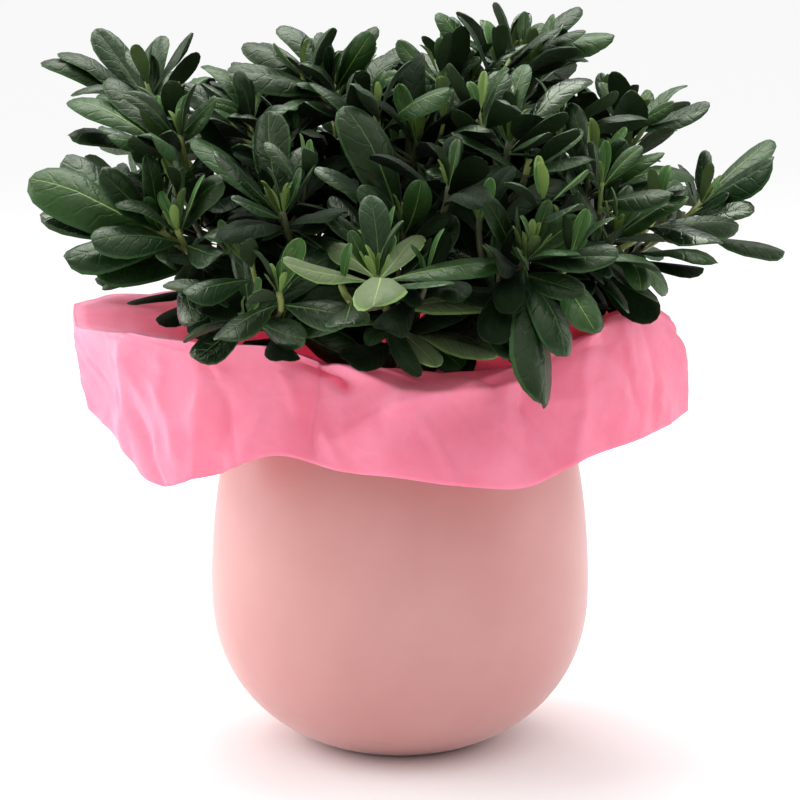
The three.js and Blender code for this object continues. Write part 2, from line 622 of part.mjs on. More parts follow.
// One mass: a stem that ends in a whorl, with side twigs that end in smaller ones
function massRule(stem) {
  const dice = new Dice(7919 * stem.seed);
  const turn = dice.roll(0, 360);
  const twigs = [0.5, 0.74].map((share, k) => {
    const start = pointOn(stem.curve, STEM_STEPS, share);
    const along = stem.curve.getTangentAt(share);
    const out = turnedAbout(along, turn + k * 180 + dice.roll(-35, 35));
    const length = dice.roll(24, 36);
    const bend = start.clone().addScaledVector(out, length * 0.5).addScaledVector(along, length * 0.25);
    const end = bend.clone().addScaledVector(along, length * 0.3).addScaledVector(UP, length * 0.35);
    end.addScaledVector(out, length * 0.1);
    return new THREE.QuadraticBezierCurve3(start, bend, end);
  });
  const rows = SHOWN_LEAVES[stem.name] ?? [];
  const shown = shownLeaves(stem.curve, rows);
  const size = rows.length ? FILLING_SIZE : 1;
  const filling = whorl(dice, stem.curve, STEM_STEPS, WHORL_LEAVES, size).filter(({ way }) =>
    shown.every((leaf) => leaf.way.dot(way) < NEAREST),
  );
  return {
    stem: stem.curve,
    twigs,
    shown: shown.filter(({ length }) => length >= SHORTEST_LEAF),
    filling: filling.filter(({ length }) => length >= SHORTEST_LEAF),
    singles: singleLeaves(dice, stem.curve, [0.5, 0.8], SINGLE_SIZE),
    twigLeaves: twigs.map((twig) => whorl(dice, twig, TWIG_STEPS, TWIG_LEAVES, TWIG_LEAF_SIZE)),
  };
}

// A leaf as a closed three-sided blade: flat below, ridged along its midrib, widest past its middle.
// Each ring is [share of its length, half width, height of the ridge], the last two as shares too.
const LEAF_RINGS = [[0, 0.013, 0.02], [0.66, 0.205, 0.034], [1, 0, 0]];
const LEAF_BLANK = new THREE.CylinderGeometry(0, 1, 1, 3, LEAF_RINGS.length - 1);

function leafSolid(leaf, root, grown) {
  const side = new THREE.Vector3().crossVectors(leaf.way, leaf.face);
  const blade = LEAF_BLANK.clone();
  const corners = blade.getAttribute("position");
  const size = leaf.length;
  for (let v = 0; v < corners.count; v++) {
    const height = corners.getY(v) + 0.5;
    const [share, wide, thick] = LEAF_RINGS[Math.round(height * (LEAF_RINGS.length - 1))];
    const across = corners.getX(v) / Math.max(1 - height, 1e-6);
    const up = corners.getZ(v) / Math.max(1 - height, 1e-6);
    const along = root + (size - root) * share + grown * Math.sign(share - 0.5);
    const point = leaf.root.clone().addScaledVector(leaf.way, along);
    point.addScaledVector(side, across * (size * wide * LEAF_BREADTH + grown) * 1.155);
    point.addScaledVector(leaf.face, (up * (size * thick + 2 * grown)) / 1.5);
    corners.setXYZ(v, point.x, point.y, point.z);
  }
  return solidOf(blade);
}

// A solid with its box and its owner, for the test of what is already in a place
function taken(owner, solid, geometry) {
  geometry.computeBoundingBox();
  return { owner, solid, box: geometry.boundingBox.clone() };
}

function boxOf(solid) {
  const geometry = geometryOf(solid);
  geometry.computeBoundingBox();
  return geometry.boundingBox;
}

function isClear(solid, places) {
  const box = boxOf(solid);
  return !places.some(
    (place) => place.box.intersectsBox(box) && place.solid.intersect(solid).volume() > 0,
  );
}

// A leaf is raised or lowered a little where it would touch another piece, or else left out.
// Its blade stays clear of its own mass too, where only the roots meet.
function fittedLeaf(owner, leaf, places) {
  const others = places.filter((place) => place.owner !== owner);
  const own = places.filter((place) => place.owner === owner);
  for (const lift of LEAF_LIFTS) {
    const way = leaf.way.clone().addScaledVector(leaf.face, lift).normalize();
    const face = leaf.face.clone().addScaledVector(leaf.way, -lift).normalize();
    const tried = { ...leaf, way, face };
    const blade = leafSolid(tried, leaf.length * CLEAR_SHARE, 0);
    if (!isClear(blade, own)) continue;
    if (isClear(leafSolid(tried, -LEAF_ROOT, GAP), others)) return tried;
  }
  return null;
}

const shrub = new THREE.Group();
const crown = new THREE.Group();
shrub.add(named("pot", pot(), POT_PINK));
shrub.add(named("root_ball", rootBall(), SOIL_BROWN));
shrub.add(named("paper_wrap", paperWrap(), PAPER_PINK));
shrub.add(named("trunk", limb(trunkCurve, trunkRadius, 9, TRUNK_STEPS), OLD_BARK));
shrub.add(crown);

// Wood that leaves must stay clear of
const places = shrub.children
  .filter((child) => child.isMesh)
  .map((child) => taken(child.name, solidOf(child.geometry), child.geometry));
const masses = [];
for (const bough of BOUGHS) {
  const solid = boughSolid(bough);
  crown.add(named(`bough_${bough.name}`, geometryOf(solid), OLD_BARK));
  places.push({ owner: `bough_${bough.name}`, solid, box: boxOf(solid) });
  for (const stem of stemsFrom(bough)) {
    masses.push({ name: `foliage_${stem.name}`, ...massRule(stem) });
  }
}

// Stems first, then the twigs that are clear of every other piece
for (const mass of masses) {
  const geometry = limb(mass.stem, taper(STEM_RADIUS, SHOOT_RADIUS), 4, STEM_STEPS);
  mass.solid = solidOf(geometry);
  places.push(taken(mass.name, mass.solid, geometry));
}
for (const mass of masses) {
  mass.twigs.forEach((twig, k) => {
    const geometry = limb(twig, taper(TWIG_RADIUS, TWIG_RADIUS * 0.85), 3, TWIG_STEPS);
    const wide = solidOf(limb(twig, taper(TWIG_RADIUS + GAP, TWIG_RADIUS + GAP), 3, TWIG_STEPS));
    if (!isClear(wide, places.filter((place) => place.owner !== mass.name))) {
      mass.twigLeaves[k] = [];
      return;
    }
    mass.solid = mass.solid.add(solidOf(geometry));
    places.push(taken(mass.name, solidOf(geometry), geometry));
  });
}

// Leaves, the large ones of every mass before the small ones
for (const kind of ["shown", "filling", "singles", "twigLeaves"]) {
  for (const mass of masses) {
    for (const leaf of mass[kind].flat()) {
      const fitted = fittedLeaf(mass.name, leaf, places);
      if (!fitted) continue;
      const solid = leafSolid(fitted, -LEAF_ROOT, 0);
      mass.solid = mass.solid.add(solid);
      places.push({ owner: mass.name, solid, box: boxOf(solid) });
    }
  }
}
for (const mass of masses) {
  crown.add(named(mass.name, geometryOf(mass.solid), LEAF_GREEN));
}

export default shrub;
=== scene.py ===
import bisect
import math

import bmesh
import bpy
import numpy as np
from mathutils import Matrix, Quaternion, Vector, noise
from mathutils.bvhtree import BVHTree


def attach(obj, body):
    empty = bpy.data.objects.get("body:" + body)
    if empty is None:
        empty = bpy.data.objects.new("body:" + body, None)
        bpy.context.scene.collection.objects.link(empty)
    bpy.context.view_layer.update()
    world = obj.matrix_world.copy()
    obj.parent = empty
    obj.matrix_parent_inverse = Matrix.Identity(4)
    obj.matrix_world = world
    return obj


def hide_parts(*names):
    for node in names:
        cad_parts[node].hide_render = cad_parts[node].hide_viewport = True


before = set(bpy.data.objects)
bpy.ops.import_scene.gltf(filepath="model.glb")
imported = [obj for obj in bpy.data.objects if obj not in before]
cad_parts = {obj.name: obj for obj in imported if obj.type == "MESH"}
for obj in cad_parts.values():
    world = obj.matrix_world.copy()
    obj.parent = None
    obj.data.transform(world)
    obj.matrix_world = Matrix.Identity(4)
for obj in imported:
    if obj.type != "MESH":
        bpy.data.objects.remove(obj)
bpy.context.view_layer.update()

# Camera, floor and light. A wide soft box stands on the left, a weaker one on the right and a third
# above, and the room is brighter overhead than at the sides, so the pot's flanks and the tops of the
# leaves shine. Sizes here are in metres; from the pot on they are in millimetres.
EYE = Vector((0, -0.9848, 0.3102))
AIM = Vector((0, 0, 0.1366))
VIEW_ANGLE = math.radians(18.04)
SIDE_GLOW, OVERHEAD_GLOW = 0.05, 1.3
FLOOR_RADIUS, FLOOR_SIDES = 40, 64


def linear(code):
    """An sRGB hex colour as linear red, green, blue and alpha"""
    parts = [int(code[k:k + 2], 16) / 255 for k in (1, 3, 5)]
    return [p / 12.92 if p <= 0.04045 else ((p + 0.055) / 1.055) ** 2.4 for p in parts] + [1.0]


def add_node(tree, kind, inputs, **settings):
    """A shader node with its settings; an input is a plain value or another node's output"""
    node = tree.nodes.new(kind)
    for name, value in settings.items():
        setattr(node, name, value)
    for name, value in inputs.items():
        if isinstance(value, bpy.types.NodeSocket):
            tree.links.new(value, node.inputs[name])
        else:
            node.inputs[name].default_value = value
    return node


def put_in_scene(name, data):
    thing = bpy.data.objects.new(name, data)
    bpy.context.scene.collection.objects.link(thing)
    return thing


def look_at(thing, place, target):
    turn = (target - place).to_track_quat("-Z", "Y")
    thing.matrix_world = Matrix.LocRotScale(place, turn, None)


def soft_box(name, place, target, size, power):
    """A rectangular lamp: where it stands, what it is turned to, its two sides and its watts"""
    lamp = bpy.data.lights.new(name, "AREA")
    lamp.shape = "RECTANGLE"
    lamp.size, lamp.size_y = size
    lamp.energy = power
    look_at(put_in_scene(name, lamp), Vector(place), Vector(target))


camera = bpy.data.cameras.new("camera")
camera.angle = VIEW_ANGLE
camera_stand = put_in_scene("camera", camera)
look_at(camera_stand, EYE, AIM)
bpy.context.scene.camera = camera_stand
bpy.context.scene.view_settings.view_transform = "Standard"

soft_box("soft_box_left", (-0.95, 0.1, 0.42), (0, 0, 0.16), (0.9, 0.9), 7.5)
soft_box("soft_box_right", (1.0, 0.15, 0.38), (0, 0, 0.14), (0.7, 0.9), 3)
soft_box("soft_box_top", (-0.1, 0.35, 1.15), (0, 0, 0.2), (1.0, 0.8), 12.5)

studio = bpy.data.worlds.new("studio")
studio.use_nodes = True
studio.node_tree.nodes.clear()
around = add_node(studio.node_tree, "ShaderNodeTexCoord", {})
axes = add_node(studio.node_tree, "ShaderNodeSeparateXYZ", {"Vector": around.outputs["Generated"]})
overhead = add_node(studio.node_tree, "ShaderNodeMapRange", {
    "Value": axes.outputs["Z"], "From Min": 0.0, "From Max": 0.9,
    "To Min": SIDE_GLOW, "To Max": OVERHEAD_GLOW,
})
air = add_node(studio.node_tree, "ShaderNodeBackground", {
    "Color": (1.0, 1.0, 1.0, 1.0), "Strength": overhead.outputs["Result"],
})
add_node(studio.node_tree, "ShaderNodeOutputWorld", {"Surface": air.outputs["Background"]})
bpy.context.scene.world = studio


def new_material(name, inputs):
    """A named surface: its shader, and the node tree for what is drawn on it"""
    material = bpy.data.materials.new(name)
    material.use_nodes = True
    tree = material.node_tree
    tree.nodes.clear()
    shader = add_node(tree, "ShaderNodeBsdfPrincipled", inputs)
    add_node(tree, "ShaderNodeOutputMaterial", {"Surface": shader.outputs["BSDF"]})
    return material, tree, shader


floor_paint, tree, shader = new_material("floor_white_matte_paint", {
    "Base Color": linear("#ffffff"), "Roughness": 0.9, "Specular IOR Level": 0.1,
})
disc = bmesh.new()
bmesh.ops.create_circle(disc, cap_ends=True, segments=FLOOR_SIDES, radius=FLOOR_RADIUS)
floor_mesh = bpy.data.meshes.new("floor")
disc.to_mesh(floor_mesh)
disc.free()
floor_mesh.materials.append(floor_paint)
put_in_scene("floor", floor_mesh)

# The pot: a bulbous planter thrown or slip-cast in earthenware, with a plain matte pink glaze.
# Its wall is even, its lip is rounded, and it stands on the flat of its belly.
POT_HEIGHT = 142
BELLY_RADIUS = 75.5
BELLY_HEIGHT = 61.5
BELLY_DEPTH_BELOW = 66.3
BELLY_SQUARENESS = 2.2
BELLY_RISE_ABOVE = 150
POT_WALL = 4.5
POT_SIDES = 96
OUTSIDE_STEPS, INSIDE_STEPS, LIP_STEPS = 18, 12, 8
GLAZE_CLOUDS = 45.5
GLAZE_GRAIN = 1.11
MM = 0.001


def pot_outline(inside, low, high, steps):
    """The pot's line at one distance inside its outer face, from low to high"""
    reach = BELLY_RADIUS - inside
    below = BELLY_DEPTH_BELOW - inside
    power = 2 / BELLY_SQUARENESS
    start = math.asin(((BELLY_HEIGHT - low) / below) ** (1 / power))
    end = math.asin((high - BELLY_HEIGHT) / BELLY_RISE_ABOVE)
    lower = [start * (1 - k / steps) for k in range(steps)]
    upper = [end * k / steps for k in range(steps + 1)]
    return [
        (reach * math.cos(a) ** power, BELLY_HEIGHT - below * math.sin(a) ** power) for a in lower
    ] + [(reach * math.cos(a), BELLY_HEIGHT + BELLY_RISE_ABOVE * math.sin(a)) for a in upper]


def spun(profile, steps):
    """A closed body turned about the upright axis from pairs of radius and height"""
    body = bmesh.new()
    line = [body.verts.new((radius, 0, height)) for radius, height in profile]
    edges = [body.edges.new(pair) for pair in zip(line, line[1:])]
    bmesh.ops.spin(
        body, geom=line + edges, axis=(0, 0, 1), cent=(0, 0, 0), dvec=(0, 0, 0),
        angle=2 * math.pi, steps=steps, use_merge=True,
    )
    bmesh.ops.remove_doubles(body, verts=body.verts, dist=1e-4)
    bmesh.ops.recalc_face_normals(body, faces=body.faces)
    return body


def put_on_plant(name, mesh, materials, nodes):
    """A finished mesh as a piece that rides with the plant and stands for its solids"""
    for material in materials:
        mesh.materials.append(material)
    mesh.shade_smooth()
    piece = put_in_scene(name, mesh)
    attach(piece, "root")
    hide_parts(*nodes)
    return piece


def mesh_of(body, name):
    """A body worked out in millimetres as a mesh in metres"""
    bmesh.ops.scale(body, vec=(MM, MM, MM), verts=body.verts)
    mesh = bpy.data.meshes.new(name)
    body.to_mesh(mesh)
    body.free()
    return mesh


# What already fills the space, so that later pieces are kept from passing through it: a search
# tree for each piece, and the middle and the radius of a sphere round it
MOST_PIECES = 6000
filled_trees = []
filled_spheres = np.zeros((MOST_PIECES, 4))


def remember(tree, points):
    low, high = np.min(points, axis=0), np.max(points, axis=0)
    filled_spheres[len(filled_trees)] = [*((low + high) / 2), np.linalg.norm(high - low) / 2]
    filled_trees.append(tree)


def remember_body(body):
    remember(BVHTree.FromBMesh(body), [vert.co for vert in body.verts])


lip_height = POT_HEIGHT - POT_WALL / 2
outside = pot_outline(0, 0, lip_height, OUTSIDE_STEPS)
inside = pot_outline(POT_WALL, POT_WALL, lip_height, INSIDE_STEPS)
lip_middle = (outside[-1][0] + inside[-1][0]) / 2
lip_reach = (outside[-1][0] - inside[-1][0]) / 2
lip = [
    (lip_middle + lip_reach * math.cos(math.pi * k / LIP_STEPS),
     lip_height + POT_WALL / 2 * math.sin(math.pi * k / LIP_STEPS))
    for k in range(1, LIP_STEPS)
]
pot_body = spun([(0, 0), *outside, *lip, *reversed(inside), (0, POT_WALL)], POT_SIDES)
remember_body(pot_body)

# Matte glaze on earthenware: an even dusty pink with faint clouds about 45 mm wide from the dip, a
# fine eggshell grain of about 1 mm, and a wide soft shine where a lamp grazes it.
glaze, tree, shader = new_material("matte_pink_glaze", {
    "Roughness": 0.42, "IOR": 1.5, "Sheen Weight": 0.3, "Sheen Roughness": 0.35,
})
place = add_node(tree, "ShaderNodeTexCoord", {})
clouds = add_node(tree, "ShaderNodeTexNoise", {
    "Vector": place.outputs["Object"], "Scale": 1 / (GLAZE_CLOUDS * MM), "Detail": 3.0,
    "Roughness": 0.55,
})
tint = add_node(tree, "ShaderNodeValToRGB", {"Fac": clouds.outputs["Fac"]})
for stop, share, colour in zip(tint.color_ramp.elements, (0.35, 0.68), ("#c78c88", "#cd9490")):
    stop.position, stop.color = share, linear(colour)
grain = add_node(tree, "ShaderNodeTexNoise", {
    "Vector": place.outputs["Object"], "Scale": 1 / (GLAZE_GRAIN * MM), "Detail": 2.0,
})
shell = add_node(tree, "ShaderNodeBump", {
    "Height": grain.outputs["Fac"], "Strength": 0.06, "Distance": 0.0004,
})
tree.links.new(tint.outputs["Color"], shader.inputs["Base Color"])
tree.links.new(shell.outputs["Normal"], shader.inputs["Normal"])
put_on_plant("pot_glazed", mesh_of(pot_body, "pot_glazed"), [glaze], ["pot"])

# The root ball: peat compost that holds the shape of the grower's pot, dark and moist, with its
# top rough with crumbs. It fills the inside of the planter up to just under the lip.
APART = 0.3
BALL_FOOT = POT_WALL + APART
BALL_FOOT_RADIUS = 29
BALL_TOP_RADIUS = 55
BALL_TOP = 128
BALL_SHOULDER = 4
BALL_SIDES, BALL_STEPS, BALL_TOP_STEPS = 64, 12, 14
# Its skin has lumps some 6 mm apart: how close they come, how high they are and how deep they sit
LUMP_PACE, LUMP_HEIGHT, LUMP_SINK = 0.16, 1.4, 1.2
CRUMBS, CRUMB_REACH, CRUMB_SINK = 420, 50, 1.4
CRUMB_RADII = (0.7, 2.2)
PEAT_LUMPS = 3.12
DICE_FACTOR, DICE_STEP, DICE_RANGE = 1664525, 1013904223, 2 ** 32


class Dice:
    """Repeatable random numbers, the same on every run"""

    def __init__(self, seed):
        self.state = seed

    def roll(self, low, high):
        self.state = (DICE_FACTOR * self.state + DICE_STEP) % DICE_RANGE
        return low + (high - low) * self.state / DICE_RANGE


ball_side = [
    (BALL_FOOT_RADIUS + (BALL_TOP_RADIUS - BALL_FOOT_RADIUS) * k / BALL_STEPS,
     BALL_FOOT + (BALL_TOP - BALL_SHOULDER - BALL_FOOT) * k / BALL_STEPS)
    for k in range(BALL_STEPS + 1)
]
ball_edge = (BALL_TOP_RADIUS - BALL_SHOULDER / 2, BALL_TOP - BALL_SHOULDER / 4)
ball_top = [
    ((BALL_TOP_RADIUS - BALL_SHOULDER) * k / BALL_TOP_STEPS, BALL_TOP)
    for k in range(BALL_TOP_STEPS, -1, -1)
]
ball = spun([(0, BALL_FOOT), *ball_side, ball_edge, *ball_top], BALL_SIDES)
for vert in ball.verts:
    rough = noise.fractal(vert.co * LUMP_PACE, 1.0, 2.0, 3) * LUMP_HEIGHT
    vert.co += vert.co.normalized() * (rough - LUMP_SINK)
remember_body(ball)
dice = Dice(31)
for _ in range(CRUMBS):
    angle, out = math.radians(dice.roll(0, 360)), CRUMB_REACH * math.sqrt(dice.roll(0.02, 1))
    spot = Vector((out * math.cos(angle), out * math.sin(angle), BALL_TOP - CRUMB_SINK))
    size = Vector([dice.roll(*CRUMB_RADII) for _ in range(3)])
    turn = Quaternion((dice.roll(-1, 1), dice.roll(-1, 1), dice.roll(-1, 1)), dice.roll(0, 3))
    bmesh.ops.create_icosphere(
        ball, subdivisions=1, radius=1, matrix=Matrix.LocRotScale(spot, turn, size),
    )

# Moist peat: near-black brown with paler fibres, fully matte, in lumps of about 3 mm and less.
peat, tree, shader = new_material("moist_peat", {"Roughness": 0.95, "Specular IOR Level": 0.25})
place = add_node(tree, "ShaderNodeTexCoord", {})
lumps = add_node(tree, "ShaderNodeTexNoise", {
    "Vector": place.outputs["Object"], "Scale": 1 / (PEAT_LUMPS * MM), "Detail": 5.0,
    "Roughness": 0.7,
})
tint = add_node(tree, "ShaderNodeValToRGB", {"Fac": lumps.outputs["Fac"]})
for stop, share, colour in zip(tint.color_ramp.elements, (0.38, 0.72), ("#1d130c", "#4d3726")):
    stop.position, stop.color = share, linear(colour)
pits = add_node(tree, "ShaderNodeBump", {
    "Height": lumps.outputs["Fac"], "Strength": 0.8, "Distance": 0.0015,
})
tree.links.new(tint.outputs["Color"], shader.inputs["Base Color"])
tree.links.new(pits.outputs["Normal"], shader.inputs["Normal"])
put_on_plant("root_ball_peat", mesh_of(ball, "root_ball_peat"), [peat], ["root_ball"])

# The collar: one sheet of pink tissue paper pushed down between root ball and pot. It stands up
# out of the mouth, folds over at its crest and flares out and down round the pot, stiff in creases.
PAPER_THICKNESS = 0.5
PAPER_TUCK_RADIUS = 59.3
PAPER_TUCK_LOW = 112
PAPER_TUCK_HIGH = 143
PAPER_TURNS = 480
RISE_STEPS = 18
FALL_STEPS = 48
UP = Vector((0, 0, 1))
# The poles of the section's two bends: a share of the way out, and a depth below the crest
RISE_POLE = (0.25, 5)
FALL_POLE = (0.7, 2)
# The open sheet is measured in millimetres: those of one degree of turn, and from crest to hem
PAPER_SPREAD = 1.8
PAPER_DROP = 52
# Short creases: how many, their length, height and half width, and how many of them are ridges
CREASES = 150
CREASE_LENGTHS, CREASE_HEIGHTS, CREASE_HALVES = (12, 55), (0.25, 1.05), (3.5, 9.5)
CREASE_RIDGES = 0.6
# Folds run in slow bends: how far those swing, how fast they come on the way down and how often
# round the collar, and how far below the crest they have grown full
SWING, SWING_PACE, SWING_ROUNDS, SWING_START = 1.2, 0.17, 3, 8
# Between the folds the sheet billows a little, outwards and up
BILLOW, BILLOW_PACE, BILLOW_RISE = 1.5, 0.035, 0.4
TISSUE_FIBRES = 16.7
TISSUE_CRINKLES = 14.3
# Each row is [distance out, height] of crest and of hem, every 15 degrees from the right side on,
# going round the back, the left and then the front.
PAPER_CREST = [
    [103, 165], [98, 170], [94, 170], [96, 167], [98, 166], [97, 170], [97, 172], [99, 169],
    [102, 168], [110, 171], [124, 172], [130, 172], [128, 167], [121, 169], [115, 171], [106, 171],
    [93, 170], [85, 164], [80, 162], [76, 160], [80, 161], [88, 169], [94, 177], [99, 178],
]
PAPER_HEM = [
    [114, 138], [114, 142], [112, 142], [113, 138], [114, 138], [113, 142], [112, 144], [114, 139],
    [118, 136], [120, 143], [122, 148], [125, 143], [122, 136], [112, 126], [107, 114], [99, 120],
    [92, 130], [83, 124], [92, 124], [97, 121], [95, 119], [98, 127], [107, 132], [111, 135],
]
# Main folds: each runs from one [turn, share of the way down] to another, with its height outwards,
# negative for a valley, and its half width, both in millimetres.
PAPER_FOLDS = [
    ((213, 0.0), (199, 0.9), 5, 18), ((205, 0.75), (213, 1.0), -3, 11), ((226, 0.1), (222, 1.0), 3, 19),
    ((249, 0.0), (248, 1.05), -7, 12), ((256, 0.1), (270, 0.45), 4, 18), ((270, 0.45), (300, 0.3), 4, 16),
    ((251, 0.0), (255, 0.35), -4, 12), ((282, 0.0), (292, 0.3), -3, 11), ((318, 0.1), (312, 1.0), 3, 20),
    ((338, 0.0), (334, 1.0), -2, 14), ((352, 0.0), (349, 1.0), 3, 18), ((170, 0.0), (184, 1.0), 4, 18),
    ((150, 0.0), (158, 1.0), -3, 16), ((120, 0.0), (130, 1.0), 4, 20), ((96, 0.0), (92, 1.0), -4, 19),
    ((70, 0.0), (78, 1.0), 4, 20), ((45, 0.0), (40, 1.0), -3, 18), ((20, 0.0), (26, 1.0), 4, 18),
]
# Shorter folds of the front, given in the same way
SHORT_FOLDS = [
    ((247, 1.0), (270, 0.55), 2.5, 15), ((270, 0.55), (286, 0.28), 3, 16),
    ((286, 0.28), (299, 0.06), 3, 14), ((246, 0.2), (256, 0.3), -3, 12), ((213, 0.6), (217, 0.85), 2, 9),
    ((322, 0.2), (329, 0.9), -2, 12), ((302, 0.15), (300, 0.8), -2, 14),
    ((249, 0.35), (248, 1.1), 3, 11),
]


def along_rim(pairs, share):
    """A closed smooth line through the pairs, read at a share of the whole turn"""
    place = share * len(pairs)
    at = math.floor(place)
    a, b, c, d = [Vector(pairs[(at + k) % len(pairs)]) for k in (-1, 0, 1, 2)]
    t = place - at
    return 0.5 * (
        2 * b + (c - a) * t + (2 * a - 5 * b + 4 * c - d) * t ** 2 + (3 * b - a - 3 * c + d) * t ** 3
    )


def bent(a, b, c, t):
    """A point of the bend from a to c that b pulls towards itself"""
    return a.lerp(b, t).lerp(b.lerp(c, t), t)


def paper_line(share):
    """The sheet's section at one turn, from inside the pot up to its crest and down to its hem"""
    crest = along_rim(PAPER_CREST, share)
    hem = along_rim(PAPER_HEM, share)
    throat = Vector((PAPER_TUCK_RADIUS, PAPER_TUCK_HIGH))
    inner = Vector((throat.lerp(crest, RISE_POLE[0]).x, crest.y - RISE_POLE[1]))
    outer = Vector((crest.lerp(hem, FALL_POLE[0]).x, crest.y - FALL_POLE[1]))
    rise = [bent(throat, inner, crest, k / RISE_STEPS) for k in range(RISE_STEPS)]
    fall = [bent(crest, outer, hem, k / FALL_STEPS) for k in range(FALL_STEPS + 1)]
    return [Vector((PAPER_TUCK_RADIUS, PAPER_TUCK_LOW)), *rise, *fall]


def fold_lifts(spots, folds):
    """How far folds carry places of the sheet outwards: each is a sharp ridge with soft feet"""
    around = 360 * PAPER_SPREAD
    lifts = np.zeros(len(spots))
    for (turn_a, down_a), (turn_b, down_b), height, half in folds:
        run = np.array(((turn_b - turn_a) * PAPER_SPREAD, (down_b - down_a) * PAPER_DROP))
        way = spots - (turn_a * PAPER_SPREAD, down_a * PAPER_DROP)
        way[:, 0] = (way[:, 0] + around / 2) % around - around / 2
        along = np.clip(way @ run / (run @ run), 0, 1)
        near = 1 - np.linalg.norm(way - along[:, None] * run, axis=1) / half
        lifts += height * np.clip(near, 0, None) ** 2
    return lifts


# Short creases of every direction lie between the folds
dice = Dice(31)
creases = list(SHORT_FOLDS)
for _ in range(CREASES):
    turn, down, angle = dice.roll(0, 360), dice.roll(-0.5, 1.05), dice.roll(0, math.pi)
    length, height = dice.roll(*CREASE_LENGTHS), dice.roll(*CREASE_HEIGHTS)
    sign = 1 if dice.roll(0, 1) < CREASE_RIDGES else -1
    end = (turn + length * math.cos(angle) / PAPER_SPREAD, down + length * math.sin(angle) / PAPER_DROP)
    creases.append(((turn, down), end, height * sign, dice.roll(*CREASE_HALVES)))

rings = len(paper_line(0)) - 1
sheet = bmesh.new()
bmesh.ops.create_grid(sheet, x_segments=PAPER_TURNS, y_segments=rings, size=0.5)
spots = np.zeros((len(sheet.verts), 2))
for k, vert in enumerate(sheet.verts):
    share = round((vert.co.x + 0.5) * PAPER_TURNS) % PAPER_TURNS / PAPER_TURNS
    ring = round((vert.co.y + 0.5) * rings)
    angle = share * 2 * math.pi
    out, height = paper_line(share)[ring]
    vert.co = (out * math.cos(angle), out * math.sin(angle), height)
    down = (ring - 1 - RISE_STEPS) / FALL_STEPS
    spots[k] = (share * 360 * PAPER_SPREAD, down * PAPER_DROP)
phase = spots[:, 0] * (2 * SWING_ROUNDS) * math.pi / (360 * PAPER_SPREAD)
swing = SWING * np.sin(spots[:, 1] * SWING_PACE + phase) * np.clip(spots[:, 1] / SWING_START, 0, 1)
bowed = spots + np.stack([swing, swing * 0], axis=1)
lifts = fold_lifts(np.maximum(bowed, 0), PAPER_FOLDS) + fold_lifts(bowed, creases)
bmesh.ops.recalc_face_normals(sheet, faces=sheet.faces)
sheet.normal_update()
for vert, spot, lift in zip(sheet.verts, spots, lifts):
    level = Vector((vert.co.x, vert.co.y, 0)).normalized()
    loose = min(max(1 + spot[1] / PAPER_DROP * FALL_STEPS / RISE_STEPS, 0), 1)
    billow = BILLOW * noise.noise(vert.co * BILLOW_PACE)
    vert.co += (level + UP * BILLOW_RISE).normalized() * (lift + billow) * loose
bmesh.ops.remove_doubles(sheet, verts=sheet.verts, dist=1e-3)
bmesh.ops.recalc_face_normals(sheet, faces=sheet.faces)
remember_body(sheet)

# Dyed tissue paper: a clear warm pink, dull, that glows a little where light comes through it.
# Soft crinkles lie some 14 mm apart, and its fibres give it faint clouds of about 17 mm and less.
tissue, tree, shader = new_material("pink_tissue_paper", {
    "Roughness": 0.75, "Specular IOR Level": 0.3, "Sheen Weight": 0.1, "Sheen Roughness": 0.6,
    "Subsurface Weight": 0.6, "Subsurface Radius": (1.0, 0.45, 0.5), "Subsurface Scale": 0.003,
})
place = add_node(tree, "ShaderNodeTexCoord", {})
fibres = add_node(tree, "ShaderNodeTexNoise", {
    "Vector": place.outputs["Object"], "Scale": 1 / (TISSUE_FIBRES * MM), "Detail": 6.0,
    "Roughness": 0.65,
})
tint = add_node(tree, "ShaderNodeValToRGB", {"Fac": fibres.outputs["Fac"]})
for stop, share, colour in zip(tint.color_ramp.elements, (0.3, 0.75), ("#f17a95", "#f58ca5")):
    stop.position, stop.color = share, linear(colour)
crinkles = add_node(tree, "ShaderNodeTexVoronoi", {
    "Vector": place.outputs["Object"], "Scale": 1 / (TISSUE_CRINKLES * MM),
}, feature="DISTANCE_TO_EDGE")
edges_soft = add_node(tree, "ShaderNodeMapRange", {
    "Value": crinkles.outputs["Distance"], "From Min": 0.0, "From Max": 0.35,
}, interpolation_type="SMOOTHSTEP")
wrinkle = add_node(tree, "ShaderNodeBump", {
    "Height": edges_soft.outputs["Result"], "Strength": 0.22, "Distance": 0.001,
})
tooth = add_node(tree, "ShaderNodeBump", {
    "Height": fibres.outputs["Fac"], "Strength": 0.25, "Distance": 0.001,
    "Normal": wrinkle.outputs["Normal"],
})
tree.links.new(tint.outputs["Color"], shader.inputs["Base Color"])
tree.links.new(tooth.outputs["Normal"], shader.inputs["Normal"])
collar = put_on_plant(
    "collar_tissue", mesh_of(sheet, "collar_tissue"), [tissue], ["paper_wrap"],
)
wall = collar.modifiers.new("thickness", "SOLIDIFY")
wall.thickness = PAPER_THICKNESS * MM
wall.offset = 0

